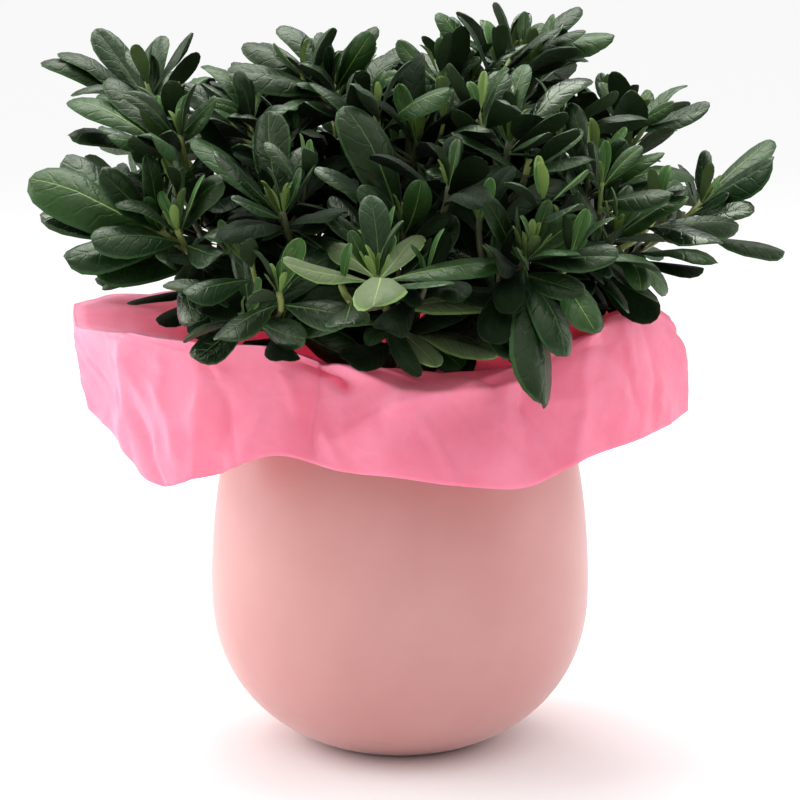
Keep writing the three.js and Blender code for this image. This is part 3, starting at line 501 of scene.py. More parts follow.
# Main stem and boughs: one short woody stem from the top of the root ball, with its root flare,
# and nine boughs that leave it low and bend up to their forks. Old bark, brown and finely cracked.
TRUNK_LENGTH = 44
TRUNK_RADIUS = 6.6
TRUNK_TAPER = 1.4
ROOT_FLARE, FLARE_FALL = 4, 10
TRUNK_LEAN = (3, 2)
TRUNK_FOOT = BALL_TOP + APART
TRUNK_SIDES, TRUNK_STEPS = 20, 22
BOUGH_SIDES, BOUGH_STEPS = 12, 20
BOUGH_RISE, BOUGH_PULL = 0.25, 0.45
CURVE_MARKS = 200
BOUGH_RADIUS = 3.9
FORK_RADIUS = 3.1
STEM_RADIUS = 1.8
SHOOT_RADIUS = 1.45
# The bark's ridges run lengthwise, some 2.4 mm apart: how close, how high and how deep they are
BARK_PACE = Vector((0.42, 0.42, 0.12))
BARK_RELIEF, BARK_SINK = 0.35, 1.1
BARK_FLAKES = 1.43
# Where each bough leaves the main stem, where it forks, and the shoot tips it feeds. Forks and
# tips are [turn, distance out, height].
BOUGHS = {
    "left": (11, (192, 40, 172), {
        "left_high": (162, 106, 251, 147), "left_middle": (188, 93, 240, 5), "left_low": (207, 101, 209, 75),
        "left_inner": (186, 58, 248, 84)}),
    "front_left": (21, (232, 40, 176), {
        "front_left_low": (234, 98, 181, 105), "front_left_high": (231, 71, 216, 1)}),
    "front": (9, (273, 40, 164), {
        "front_low": (265, 98, 198, 99), "front_middle": (271, 50, 209, 2)}),
    "front_right": (17, (307, 42, 174), {
        "front_right_low": (301, 90, 203, 3), "front_right_high": (326, 50, 241, 4)}),
    "right": (26, (350, 48, 180), {
        "right_middle": (18, 96, 243, 130), "right_low": (329, 94, 208, 90), "right_far": (2, 119, 214, 28),
        "right_high": (349, 76, 223, 7)}),
    "top": (44, (60, 9, 200), {
        "top_left": (147, 32, 260, 55), "top_front": (292, 18, 240, 12), "top_right": (44, 63, 269, 25),
        "top_middle": (45, 34, 263, 40)}),
    "back_right": (19, (50, 46, 176), {
        "back_right_high": (64, 88, 244, 9), "back_right_low": (35, 105, 207, 8),
        "back_right_far": (70, 118, 204, 6)}),
    "back": (31, (98, 34, 188), {
        "back_high": (95, 72, 238, 10), "back_top": (130, 68, 239, 15), "back_low": (99, 112, 216, 11)}),
    "back_left": (23, (141, 46, 176), {
        "back_left_high": (138, 98, 238, 42), "back_left_low": (156, 120, 208, 110),
        "back_left_far": (123, 118, 206, 13)}),
}


class Bend:
    """A Bezier line, read by its own parameter or by a share of its length"""

    def __init__(self, *poles):
        self.poles = [Vector(pole) for pole in poles]
        marks = [self.at(k / CURVE_MARKS) for k in range(CURVE_MARKS + 1)]
        self.lengths = [0.0]
        for a, b in zip(marks, marks[1:]):
            self.lengths.append(self.lengths[-1] + (b - a).length)

    def at(self, t):
        poles = self.poles
        while len(poles) > 1:
            poles = [a.lerp(b, t) for a, b in zip(poles, poles[1:])]
        return poles[0]

    def heading(self, t):
        low, high = max(t - 1e-3, 0), min(t + 1e-3, 1)
        return (self.at(high) - self.at(low)).normalized()

    def parameter(self, share):
        """The line's own parameter at a share of its length"""
        goal = share * self.lengths[-1]
        k = min(max(bisect.bisect_left(self.lengths, goal), 1), CURVE_MARKS)
        before, after = self.lengths[k - 1], self.lengths[k]
        return (k - 1 + (goal - before) / (after - before)) / CURVE_MARKS

    def point(self, share):
        return self.at(self.parameter(share))

    def way(self, share):
        return self.heading(self.parameter(share))


def placed(spot):
    """A place given as its turn in degrees, its distance out and its height"""
    turn, out, height = spot
    return Vector((out * math.cos(math.radians(turn)), out * math.sin(math.radians(turn)), height))


def trunk_radius(share):
    return TRUNK_RADIUS - TRUNK_TAPER * share + ROOT_FLARE * math.exp(-FLARE_FALL * share)


def grow_limb(body, curve, radius_at, sides, steps):
    """A limb: a cylinder cut into rings, each of which is carried to its place on the curve"""
    limb = bmesh.new()
    bmesh.ops.create_cone(limb, cap_ends=True, segments=sides, radius1=1, radius2=1, depth=1)
    uprights = [e for e in limb.edges if abs(e.verts[0].co.z - e.verts[1].co.z) > 0.5]
    bmesh.ops.subdivide_edges(limb, edges=uprights, cuts=steps - 1, use_grid_fill=True)
    side = curve.heading(0).orthogonal().normalized()
    frames = []
    for k in range(steps + 1):
        heading = curve.way(k / steps)
        side = (side - heading * side.dot(heading)).normalized()
        frames.append((curve.point(k / steps), side, heading.cross(side)))
    for vert in limb.verts:
        step = round((vert.co.z + 0.5) * steps)
        middle, level, rise = frames[step]
        radius = radius_at(step / steps)
        vert.co = middle + (level * vert.co.x + rise * vert.co.y) * radius
    grown = bpy.data.meshes.new("limb")
    limb.to_mesh(grown)
    limb.free()
    body.from_mesh(grown)
    bpy.data.meshes.remove(grown)


def taper(start, end):
    return lambda share: start + (end - start) * share


trunk_curve = Bend(
    (0, 0, TRUNK_FOOT), (0, 0, TRUNK_FOOT + TRUNK_LENGTH / 2), (*TRUNK_LEAN, TRUNK_FOOT + TRUNK_LENGTH),
)
bough_curves = {}
for name, (foot, fork_spot, tips) in BOUGHS.items():
    fork = placed(fork_spot)
    start = trunk_curve.at(foot / TRUNK_LENGTH)
    away = ((fork - start) * Vector((1, 1, 0))).normalized() + UP * BOUGH_RISE
    if foot == TRUNK_LENGTH:
        away = trunk_curve.heading(1)
    pole = start + away.normalized() * (fork - start).length * BOUGH_PULL
    bough_curves[name] = Bend(start, pole, fork)

limbs = bmesh.new()
grow_limb(limbs, trunk_curve, trunk_radius, TRUNK_SIDES, TRUNK_STEPS)
for curve in bough_curves.values():
    grow_limb(limbs, curve, taper(BOUGH_RADIUS, FORK_RADIUS), BOUGH_SIDES, BOUGH_STEPS)
remember_body(limbs)
limbs.normal_update()
for vert in limbs.verts:
    ridge = noise.ridged_multi_fractal(vert.co * BARK_PACE, 1.0, 2.1, 3, 1.0, 2.0)
    vert.co += vert.normal * (ridge - BARK_SINK) * BARK_RELIEF

# Bark of an old azalea stem: warm brown over grey, dull, in flakes about 1.5 mm wide and 5 mm long.
bark, tree, shader = new_material("old_brown_bark", {"Roughness": 0.88, "Specular IOR Level": 0.3})
place = add_node(tree, "ShaderNodeTexCoord", {})
upright = add_node(tree, "ShaderNodeMapping", {
    "Vector": place.outputs["Object"], "Scale": (1.0, 1.0, 0.28),
})
flakes = add_node(tree, "ShaderNodeTexNoise", {
    "Vector": upright.outputs["Vector"], "Scale": 1 / (BARK_FLAKES * MM), "Detail": 4.0,
    "Roughness": 0.6,
})
tint = add_node(tree, "ShaderNodeValToRGB", {"Fac": flakes.outputs["Fac"]})
for stop, share, colour in zip(tint.color_ramp.elements, (0.36, 0.7), ("#3d281b", "#7c6350")):
    stop.position, stop.color = share, linear(colour)
cracks = add_node(tree, "ShaderNodeBump", {
    "Height": flakes.outputs["Fac"], "Strength": 0.7, "Distance": 0.0008,
})
tree.links.new(tint.outputs["Color"], shader.inputs["Base Color"])
tree.links.new(cracks.outputs["Normal"], shader.inputs["Normal"])
put_on_plant(
    "limbs_bark", mesh_of(limbs, "limbs_bark"), [bark],
    ["trunk", *(f"bough_{name}" for name in BOUGHS)],
)

# Stems and twigs: from each fork two to four green stems run out to the shoot tips, and side twigs
# leave them now on one side, now on the other. Young wood, about 3 mm thick, brown only inside.
TWIG_RADIUS = 1.5
FINE_TWIG_RADIUS = 1.0
TWIG_TAPER = 0.8
STEM_STEPS = 4
TWIG_STEPS = 2
# Where on a stem the twigs leave it, as shares of its length, and how long they are
TWIG_SHARES, TWIG_LENGTHS = (0.5, 0.74), (24, 36)
FINE_TWIG_SHARES, FINE_TWIG_LENGTHS = (0.62, 0.86, 0.12, 0.28, 0.4), (17, 25)
TWIG_STRAY = 35
# Each spray has dice of its own, made from its seed: one for what the solids have too, one for what
# only shows close by
SPRAY_DICE, FINER_DICE = 7919, 104729
CROWN_REACH, CROWN_MIDDLE, CROWN_RISE = 130, 185, 85
BROWN_WOOD, OLIVE_WOOD = 0.45, 0.75
STEM_GRAIN = 1.11


def across_from(heading):
    """Two directions square to a heading, the first one level"""
    level = UP.cross(heading)
    if level.length < 0.05:
        level = Vector((1, 0, 0))
    level.normalize()
    return level, heading.cross(level).normalized()


def turned_about(heading, turn):
    """The direction square to a heading at a turn about it, in degrees from level"""
    level, rise = across_from(heading)
    return level * math.cos(math.radians(turn)) + rise * math.sin(math.radians(turn))


def stems_from(curve, tips):
    """The stems that leave one fork side by side on its end, in the order of their tips"""
    fork, heading = curve.at(1), curve.heading(1)
    level, rise = across_from(heading)
    ends = []
    for name, (*spot, seed) in tips.items():
        way = placed(spot) - fork
        ends.append((math.atan2(way.dot(rise), way.dot(level)), name, placed(spot)))
    ends.sort(key=lambda end: end[0])
    slot = 2 * math.pi / len(ends)
    first = sum(angle - k * slot for k, (angle, _, _) in enumerate(ends)) / len(ends)
    ring = STEM_RADIUS * 1.2 / math.sin(math.pi / len(ends))
    stems = []
    for k, (_, name, tip) in enumerate(ends):
        side = level * math.cos(first + k * slot) + rise * math.sin(first + k * slot)
        start = fork + heading * APART + side * ring
        reach = (tip - start).length
        bend = start + heading * reach * 0.22 + side * reach * 0.12
        bend = bend.lerp(tip, 0.35) - UP * 0.1 * reach
        stems.append((name, Bend(start, start + heading * reach * 0.16, bend, tip)))
    return stems


def point_on(curve, steps, share):
    """A point on the straight runs between a limb's rings, as in the part's solids"""
    step = min(math.floor(share * steps), steps - 1)
    start = curve.point(step / steps)
    return start.lerp(curve.point((step + 1) / steps), share * steps - step)


def side_twig(dice, stem, share, turn, low, high):
    """A twig that leaves a stem to one side and bends up towards the light"""
    start = point_on(stem, STEM_STEPS, share)
    along = stem.way(share)
    out = turned_about(along, turn)
    length = dice.roll(low, high)
    bend = start + out * length * 0.5 + along * length * 0.25
    return Bend(start, bend, bend + along * length * 0.3 + UP * length * 0.35 + out * length * 0.1)


def crown_share(spot):
    """How far out a place lies in the dome of the crown, from 0 in its middle to 1 at its edge"""
    rise = (spot.z - CROWN_MIDDLE) / CROWN_RISE
    return math.hypot(spot.x / CROWN_REACH, spot.y / CROWN_REACH, rise)


sprays = []
for bough, (_, _, tips) in BOUGHS.items():
    for name, stem in stems_from(bough_curves[bough], tips):
        seed = tips[name][3]
        dice, finer = Dice(SPRAY_DICE * seed), Dice(FINER_DICE * seed)
        turn = dice.roll(0, 360)
        twigs, fine_twigs = [], []
        for k, share in enumerate(TWIG_SHARES):
            side = turn + k * 180 + dice.roll(-TWIG_STRAY, TWIG_STRAY)
            twigs.append(side_twig(dice, stem, share, side, *TWIG_LENGTHS))
        for k, share in enumerate(FINE_TWIG_SHARES):
            side = turn + 90 + k * 180 + finer.roll(-TWIG_STRAY, TWIG_STRAY)
            fine_twigs.append(side_twig(finer, stem, share, side, *FINE_TWIG_LENGTHS))
        sprays.append({
            "name": name, "bough": bough, "stem": stem, "twigs": twigs, "fine_twigs": fine_twigs,
            "seed": seed, "dice": dice, "finer": finer,
        })

wood = bmesh.new()
for spray in sprays:
    grow_limb(wood, spray["stem"], taper(STEM_RADIUS, SHOOT_RADIUS), 8, 16)
    runs = [(spray["twigs"], TWIG_RADIUS), (spray["fine_twigs"], FINE_TWIG_RADIUS)]
    for twigs, radius in runs:
        for twig in twigs:
            grow_limb(wood, twig, taper(radius, radius * TWIG_TAPER), 6, 6)
remember_body(wood)
for face in wood.faces:
    share = crown_share(face.calc_center_median())
    face.material_index = 0 if share < BROWN_WOOD else 1 if share < OLIVE_WOOD else 2

# Young bark: smooth and slightly waxy, brown near the fork, olive further out and a clear yellow
# green under the leaves, with a fine grain of about 1 mm.
stem_barks = []
for name, colour in (
    ("stem_bark_brown", "#33281c"), ("stem_bark_olive", "#4c5030"), ("stem_bark_green", "#7f8c48"),
):
    bark, tree, shader = new_material(name, {"Base Color": linear(colour), "Roughness": 0.5})
    place = add_node(tree, "ShaderNodeTexCoord", {})
    grain = add_node(tree, "ShaderNodeTexNoise", {
        "Vector": place.outputs["Object"], "Scale": 1 / (STEM_GRAIN * MM), "Detail": 3.0,
    })
    lines = add_node(tree, "ShaderNodeBump", {
        "Height": grain.outputs["Fac"], "Strength": 0.35, "Distance": 0.0005,
    })
    tree.links.new(lines.outputs["Normal"], shader.inputs["Normal"])
    stem_barks.append(bark)
put_on_plant("stems_and_twigs", mesh_of(wood, "stems_and_twigs"), stem_barks, [])

# The leaves: thick, leathery and dull green, blunt with a tiny point, folded a little along a
# sunken midrib, with a pale thin margin. They stand in whorls, flat when old and upright when young.
LEAF_LENGTH = 55
YOUNG_LEAF_LENGTH = 26
WHORL_DEPTH = 11
GOLDEN_TURN = 137.5
OUTWARD = 270
FRONT = Vector((0, -0.985, 0.174))
# A leaf's outline, for a length of 1: its rows, and the ends, widths and depth of its parts
LEAF_ROWS = (0, 0.05, 0.16, 0.33, 0.52, 0.69, 0.82, 0.92, 0.98, 1)
COARSE_ROWS = (0.3, 0.45, 0.63, 0.84, 1)
BLADE_COLUMNS = 7
LEAF_STALK, STALK_HALF_WIDTH = 0.08, 0.014
LEAF_HALF_WIDTH, WIDEST = 0.2, 0.3879
RIB_AT_TIP, RIB_SWELL = 0.0015, 0.0105
MARGIN_WIDTH, KEEL_DEPTH = 0.014, 0.012
BLADE, RIB, MARGIN, UNDER = range(4)
# How far a shoot's tip turns up to the light, and how its leaves droop, in degrees from its
# heading: the oldest on a low tip and on one that is TIP_RANGE higher, and the youngest
TIP_LIFT = 0.85
LOW_TIP, TIP_RANGE = 205, 60
LOW_DROOP, HIGH_DROOP, YOUNG_DROOP = 80, 62, 24
# How far a leaf is lifted or lowered to get clear, and how near two ways may lie, as a cosine
LEAF_LIFTS = (0, 0.08, -0.08, 0.16, -0.16, 0.28, -0.28, 0.4)
NEAREST = 0.72
# Leaves that the photo shows one by one, read off it. Each row is the pixel across and down
# of the leaf's tip, its length, 1 where it points away from the eye or -1 where it comes forward,
# its distance back from the shoot's tip, and how far the blade faces the front, from 0 for edge on
# to 1. The others follow the plant's rule.
SHOWN_LEAVES = {
    "left_high": [
        (96, 28, 44, 1, 4, 0.8), (56, 54, 44, 1, 4, 0.5), (41, 64, 48, -1, 5, 0.55),
        (157, 32, 36, 1, 3, 0.88), (209, 77, 42, 1, 6, 0.52), (152, 54, 24, -1, 1, 0.9),
        (177, 71, 32, 1, 3, 0.7), (115, 64, 26, 1, 2, 0.5),
    ],
    "left_middle": [
        (69, 101, 48, 1, 5, 0.64), (104, 85, 42, 1, 3, 0.5), (216, 99, 38, -1, 3, 0.65),
        (231, 125, 40, 1, 5, 0.4), (170, 113, 24, 1, 1, 0.9), (109, 138, 32, -1, 4, 0.4),
    ],
    "left_low": [
        (28, 178, 50, -1, 8, 0.7), (71, 140, 52, 1, 3, 0.8), (100, 171, 40, -1, 3, 0.87),
        (66, 261, 48, -1, 8, 0.6), (41, 214, 50, 1, 10, 0.5), (223, 180, 40, -1, 5, 0.7),
        (168, 265, 32, -1, 6, 0.9), (145, 155, 32, -1, 1, 0.75), (177, 155, 34, 1, 2, 0.6),
        (140, 194, 20, -1, 1, 0.9), (95, 272, 48, -1, 26, 0.6),
    ],
    "left_inner": [
        (204, 67, 40, 1, 4, 0.4), (234, 75, 34, -1, 3, 0.7), (219, 97, 30, -1, 2, 0.6),
        (286, 112, 36, -1, 6, 0.5), (233, 130, 30, -1, 4, 0.6),
    ],
    "front_left_low": [
        (195, 360, 34, -1, 5, 0.95), (163, 287, 36, -1, 3, 0.5), (246, 345, 34, -1, 42, 0.5),
        (296, 300, 38, 1, 4, 0.6), (215, 300, 30, 1, 2, 0.6),
    ],
    "front_left_high": [
        (271, 121, 42, 1, 2, 0.83), (194, 137, 48, 1, 4, 0.45), (213, 152, 40, -1, 4, 0.3),
        (309, 155, 36, 1, 3, 1), (294, 124, 42, 1, 3, 0.8), (204, 237, 40, -1, 10, 0.6),
        (321, 255, 30, -1, 8, 0.4),
    ],
    "front_low": [
        (283, 262, 38, -1, 4, 0.35), (502, 262, 46, 1, 4, 0.3), (330, 246, 30, 1, 3, 0.9),
        (420, 235, 32, 1, 3, 0.7), (454, 284, 30, -1, 6, 0.35), (504, 276, 46, 1, 22, 0.5),
        (372, 307, 50, -1, 2, 1), (284, 333, 42, -1, 40, 0.4), (500, 353, 40, -1, 46, 0.35),
        (437, 368, 34, -1, 36, 0.8), (366, 366, 28, -1, 50, 0.8), (308, 306, 34, -1, 12, 0.5),
    ],
    "front_middle": [
        (462, 368, 36, -1, 42, 0.8), (346, 362, 38, -1, 40, 0.7), (343, 107, 54, 1, 4, 0.9),
        (314, 168, 44, -1, 5, 0.4), (357, 189, 32, -1, 2, 0.95), (421, 179, 36, -1, 2, 1),
        (487, 175, 40, -1, 4, 0.65), (468, 245, 32, -1, 6, 0.5),
    ],
    "front_right_low": [
        (545, 406, 58, -1, 4, 0.6), (558, 367, 42, -1, 8, 0.85), (594, 333, 40, 1, 14, 0.8),
        (590, 304, 36, -1, 10, 0.95), (621, 265, 40, -1, 3, 0.6), (577, 279, 32, -1, 5, 0.3),
        (527, 340, 30, -1, 28, 0.8), (539, 371, 36, -1, 38, 0.6), (593, 214, 36, 1, 3, 0.6),
        (490, 215, 30, 1, 3, 0.6), (500, 380, 30, -1, 50, 0.6),
    ],
    "front_right_high": [
        (591, 80, 46, 1, 4, 0.62), (487, 79, 32, 1, 2, 0.88), (509, 84, 26, 1, 1, 0.8),
        (525, 64, 36, 1, 1, 0.8), (443, 91, 38, 1, 4, 0.92), (439, 141, 32, -1, 5, 0.35),
        (528, 160, 22, -1, 3, 0.5), (429, 174, 40, -1, 9, 0.5), (553, 166, 32, -1, 7, 0.4),
    ],
    "right_middle": [
        (710, 107, 40, -1, 4, 0.45), (618, 76, 28, 1, 1, 0.95), (647, 89, 26, 1, 2, 0.7),
        (690, 92, 34, 1, 3, 0.5), (674, 103, 28, -1, 3, 0.5), (640, 160, 34, -1, 8, 0.6),
    ],
    "right_low": [
        (685, 186, 36, 1, 4, 0.5), (689, 198, 38, -1, 6, 0.5), (640, 291, 34, -1, 6, 0.6),
        (655, 300, 42, -1, 12, 0.5), (622, 263, 26, -1, 24, 0.8), (560, 262, 34, -1, 5, 0.6),
        (625, 309, 40, -1, 18, 0.5), (560, 225, 38, 1, 4, 0.6),
    ],
    "right_far": [
        (770, 139, 46, 1, 2, 0.45), (773, 161, 44, -1, 3, 0.4), (755, 212, 40, -1, 14, 0.45),
        (703, 151, 28, 1, 1, 0.7), (733, 199, 26, -1, 8, 0.5), (716, 264, 38, -1, 34, 0.3),
        (680, 165, 28, 1, 3, 0.6),
    ],
    "right_high": [
        (563, 109, 36, 1, 2, 0.8), (582, 116, 30, 1, 1, 0.7), (627, 141, 32, -1, 3, 0.85),
        (665, 154, 36, -1, 4, 0.5), (694, 177, 46, 1, 6, 0.5), (661, 188, 34, -1, 5, 0.7),
        (559, 155, 32, -1, 4, 0.6), (549, 198, 32, -1, 6, 0.5), (536, 246, 34, -1, 10, 0.6),
        (602, 160, 20, -1, 1, 0.8),
    ],
    "top_left": [
        (244, 43, 46, 1, 5, 0.45), (280, 26, 38, 1, 3, 0.5), (371, 33, 36, -1, 3, 1),
        (227, 73, 48, -1, 7, 0.45), (321, 32, 28, 1, 2, 0.7), (398, 75, 32, -1, 6, 0.5),
        (357, 54, 24, -1, 2, 0.7), (327, 46, 22, -1, 1, 0.6), (280, 111, 38, -1, 9, 0.5),
        (375, 48, 30, 1, 4, 0.6),
    ],
    "top_right": [
        (580, 7, 42, 1, 2, 0.5), (617, 44, 46, -1, 3, 0.4), (482, 20, 26, 1, 2, 0.8),
        (459, 38, 32, -1, 4, 0.45), (527, 12, 26, 1, 1, 0.95), (563, 52, 30, -1, 4, 0.55),
        (545, 27, 24, 1, 1, 0.6), (586, 61, 44, 1, 14, 0.5), (467, 51, 30, 1, 6, 0.5),
    ],
    "top_middle": [
        (450, 17, 34, 1, 2, 1), (404, 53, 34, 1, 3, 0.8), (407, 88, 30, -1, 4, 0.85),
        (500, 100, 34, -1, 6, 0.6), (480, 60, 24, -1, 2, 0.7),
    ],
}

# Where the photo was taken from, in millimetres. A tip's pixel is turned into a direction with
# these, the same as in the part's solids.
PHOTO_EYE = Vector((0, -984.8, 310.2))
LOOKED_AT = Vector((0, 0, 136.58))
PHOTO_WIDTH = 800


def half_width(share):
    """Half the width of a leaf of length 1, from its stalk to its tip"""
    if share <= 0 or share >= 1:
        return 0.0
    if share <= LEAF_STALK:
        return STALK_HALF_WIDTH
    s = (share - LEAF_STALK) / (1 - LEAF_STALK)
    return max(STALK_HALF_WIDTH, LEAF_HALF_WIDTH * s ** 0.95 * (1 - s) ** 0.5 / WIDEST)


def leaf_pattern(rows):
    """A flat closed leaf of length 1: an upper side in strips and a plain underside"""
    body = bmesh.new()
    for side, count in ((1, BLADE_COLUMNS), (-1, 2)):
        bmesh.ops.create_grid(body, x_segments=count, y_segments=len(rows) - 1, size=0.5)
        body.faces.ensure_lookup_table()
        fresh = [face for face in body.faces if not face.tag]
        for face in fresh:
            face.tag = True
            column = math.floor((face.calc_center_median().x + 0.5) * count)
            row = math.floor((face.calc_center_median().y + 0.5) * (len(rows) - 1))
            part = UNDER
            if side > 0:
                part = MARGIN if column in (0, count - 1) else RIB if column == count // 2 else BLADE
                if rows[row + 1] < LEAF_STALK:
                    part = RIB
            face.material_index = part
        for vert in {v for face in fresh for v in face.verts}:
            row = round((vert.co.y + 0.5) * (len(rows) - 1))
            column = round((vert.co.x + 0.5) * count)
            wide = half_width(rows[row])
            rib = min(RIB_AT_TIP + RIB_SWELL * (1 - rows[row]) ** 1.3, wide * 0.4)
            rim = wide - min(MARGIN_WIDTH, wide * 0.3)
            if side > 0:
                stops = [-wide, -rim, -(rib + rim) / 2, -rib, rib, (rib + rim) / 2, rim, wide]
                vert.co = (stops[column], rows[row], 0)
            else:
                drop = min(KEEL_DEPTH, wide * 0.6) if column == 1 else 0
                vert.co = ((column - 1) * wide, rows[row], -drop)
        if side < 0:
            bmesh.ops.reverse_faces(body, faces=fresh)
    bmesh.ops.remove_doubles(body, verts=body.verts, dist=1e-5)
    body.verts.index_update()
    points = np.array([vert.co for vert in body.verts])
    faces = [[vert.index for vert in face.verts] for face in body.faces]
    parts = np.array([face.material_index for face in body.faces])
    body.free()
    return points, faces, parts


PATTERN, PATTERN_FACES, PATTERN_PARTS = leaf_pattern(LEAF_ROWS)
PATTERN_WIDTHS = np.array([half_width(share) for share in PATTERN[:, 1]])
PATTERN_CORNERS = [corner for face in PATTERN_FACES for corner in face]
# Few points of a leaf are enough to see whether it is clear of the others
COARSE = np.array([
    (side * half_width(row), row, 0) for row in COARSE_ROWS for side in (-1, 0, 1)
])
COARSE_WIDTHS = np.array([half_width(share) for share in COARSE[:, 1]])
COARSE_FACES = [
    (k * 3 + j, k * 3 + j + 1, k * 3 + j + 4, k * 3 + j + 3)
    for k in range(len(COARSE_ROWS) - 1) for j in (0, 1)
]


def shape_leaf(leaf, points, widths):
    """A leaf's points in place: folded, arched, curled at its tip, twisted and turned"""
    form = leaf["form"]
    x, y, z = points.T
    broad = np.maximum(widths, 1e-6)
    rel = np.clip(x / broad, -1, 1)
    z = z + widths * (form["fold"] * np.abs(rel) ** 0.8 - form["roll"] * rel ** 2)
    z = z + widths * form["wave"] * np.sin(y * 9 + form["phase"]) * rel ** 2
    x = x * form["breadth"]
    turn = form["twist"] * (y - 0.3)
    x, z = x * np.cos(turn) - z * np.sin(turn), x * np.sin(turn) + z * np.cos(turn)
    z = z + form["arch"] * 4 * y * (1 - y) - form["curl"] * (np.maximum(y - 0.6, 0) ** 2 - 0.16 * y)
    x = x + form["sway"] * 4 * y * (1 - y)
    side = leaf["way"].cross(leaf["face"])
    turned = np.outer(x, side) + np.outer(y, leaf["way"]) + np.outer(z, leaf["face"])
    return np.array(leaf["root"]) + turned * leaf["length"]


def new_form(dice, youth):
    """How one leaf is bent: old ones arch and roll, young ones are folded and stand straight"""
    return {
        "breadth": dice.roll(0.8, 1.06) * (1 - 0.25 * youth),
        "fold": dice.roll(0.4, 0.62) + 0.2 * youth,
        "roll": dice.roll(0.68, 1.05) * (1 - 0.4 * min(youth, 1)),
        "wave": dice.roll(0.0, 0.12),
        "phase": dice.roll(0, 6.3),
        "twist": dice.roll(-0.5, 0.5),
        "arch": dice.roll(-0.02, 0.09) - 0.05 * youth,
        "curl": dice.roll(-0.3, 0.9),
        "sway": dice.roll(-0.04, 0.04),
    }


def sight_line(across, down):
    """The way from the eye through a pixel of the photo"""
    ahead = (LOOKED_AT - PHOTO_EYE).normalized()
    right = Vector((1, 0, 0))
    pixels = PHOTO_WIDTH / 2 / math.tan(VIEW_ANGLE / 2)
    aside = right * (across - PHOTO_WIDTH / 2) + right.cross(ahead) * (PHOTO_WIDTH / 2 - down)
    return (ahead * pixels + aside).normalized()


def reach_of(root, across, down, length, side):
    """From a leaf's root to its tip: the spot on the sight line that is the leaf's length away,
    behind or before the root, or else the nearest one. Whole degrees and millimetres will do."""
    sight = sight_line(across, down)
    back = PHOTO_EYE - Vector(root)
    near = back.dot(sight)
    spare = max(length ** 2 - back.length_squared + near ** 2, 0)
    reach = back + sight * (side * math.sqrt(spare) - near)
    turn = round(math.degrees(math.atan2(reach.y, reach.x)))
    rise = math.radians(round(math.degrees(math.asin(reach.z / reach.length))))
    return placed((turn, math.cos(rise), math.sin(rise))), round(reach.length)


def shown_leaves(curve, rows):
    """The leaves that the photo shows on one stem, placed from their rows"""
    leaves = []
    for across, down, given, side, depth, facing in rows:
        root = point_on(curve, STEM_STEPS, 1 - depth / curve.lengths[-1])
        way, length = reach_of(root, across, down, given, side)
        front = (FRONT - way * FRONT.dot(way)).normalized()
        above = way.cross(front)
        if above.z < 0:
            above.negate()
        leaves.append({
            "root": root, "way": way,
            "face": front * facing + above * math.sqrt(1 - facing ** 2),
            "length": length, "youth": max(0.0, (50 - length) / 40),
        })
    return leaves


def tip_heading(curve):
    """The way that a shoot's tip points, turned up to the light"""
    return (curve.heading(1) + UP * TIP_LIFT).normalized()


def leaned(heading, out, tilt):
    """The way and the face of a leaf that leans out from a heading"""
    return (
        heading * math.cos(tilt) + out * math.sin(tilt),
        heading * math.sin(tilt) - out * math.cos(tilt),
    )


def whorl(dice, curve, steps, count, size, outward=OUTWARD, first=0.0, last=1.0):
    """The leaves round a tip: the first are the oldest, long and flat, the last stand up"""
    heading = tip_heading(curve)
    phase = outward + dice.roll(-30, 30)
    droop = LOW_DROOP + (curve.at(1).z - LOW_TIP) / TIP_RANGE * (HIGH_DROOP - LOW_DROOP)
    leaves = []
    for k in range(count):
        youth = first + (last - first) * k / (count - 1)
        tilt = math.radians(droop - (droop - YOUNG_DROOP) * youth ** 1.1 + dice.roll(-8, 8))
        out = turned_about(heading, phase + k * GOLDEN_TURN + dice.roll(-12, 12))
        way, face = leaned(heading, out, tilt)
        depth = WHORL_DEPTH * size * (1 - youth) + 1
        face = Quaternion(way, math.radians(dice.roll(-40, 40))) @ face
        full = LEAF_LENGTH + (YOUNG_LEAF_LENGTH - LEAF_LENGTH) * youth ** 1.4
        leaves.append({
            "root": point_on(curve, steps, 1 - depth / curve.lengths[-1]), "way": way, "face": face,
            "length": full * size * dice.roll(0.86, 1.06), "youth": youth,
        })
    return leaves


def single_leaves(dice, curve, shares, size):
    """Leaves set singly along a stem below its whorl"""
    leaves = []
    for share in shares:
        heading = curve.way(share)
        out = turned_about(heading, dice.roll(0, 360))
        way, face = leaned(heading, out, math.radians(dice.roll(70, 112)))
        face = Quaternion(way, math.radians(dice.roll(-50, 50))) @ face
        leaves.append({
            "root": point_on(curve, STEM_STEPS, share), "way": way, "face": face,
            "length": LEAF_LENGTH * size * dice.roll(0.78, 1), "youth": 0.0,
        })
    return leaves


def young_leaves(dice, curve, count, size):
    """The upright narrow leaves that are still unfolding at a shoot's tip"""
    heading = tip_heading(curve)
    leaves = []
    for k in range(count):
        tilt = math.radians(dice.roll(8, 34))
        out = turned_about(heading, 60 + k * GOLDEN_TURN + dice.roll(-15, 15))
        way, face = leaned(heading, out, tilt)
        leaves.append({
            "root": curve.point(1 - 1.5 / curve.lengths[-1]), "way": way, "face": face,
            "length": size * dice.roll(12, 24), "youth": 1.3,
        })
    return leaves


def twig_whorls(dice, twigs, count, size, outward=OUTWARD):
    return [leaf for twig in twigs for leaf in whorl(dice, twig, TWIG_STEPS, count, size, outward)]


def young_twig_leaves(dice, twigs, count, size):
    return [leaf for twig in twigs for leaf in young_leaves(dice, twig, count, size)]


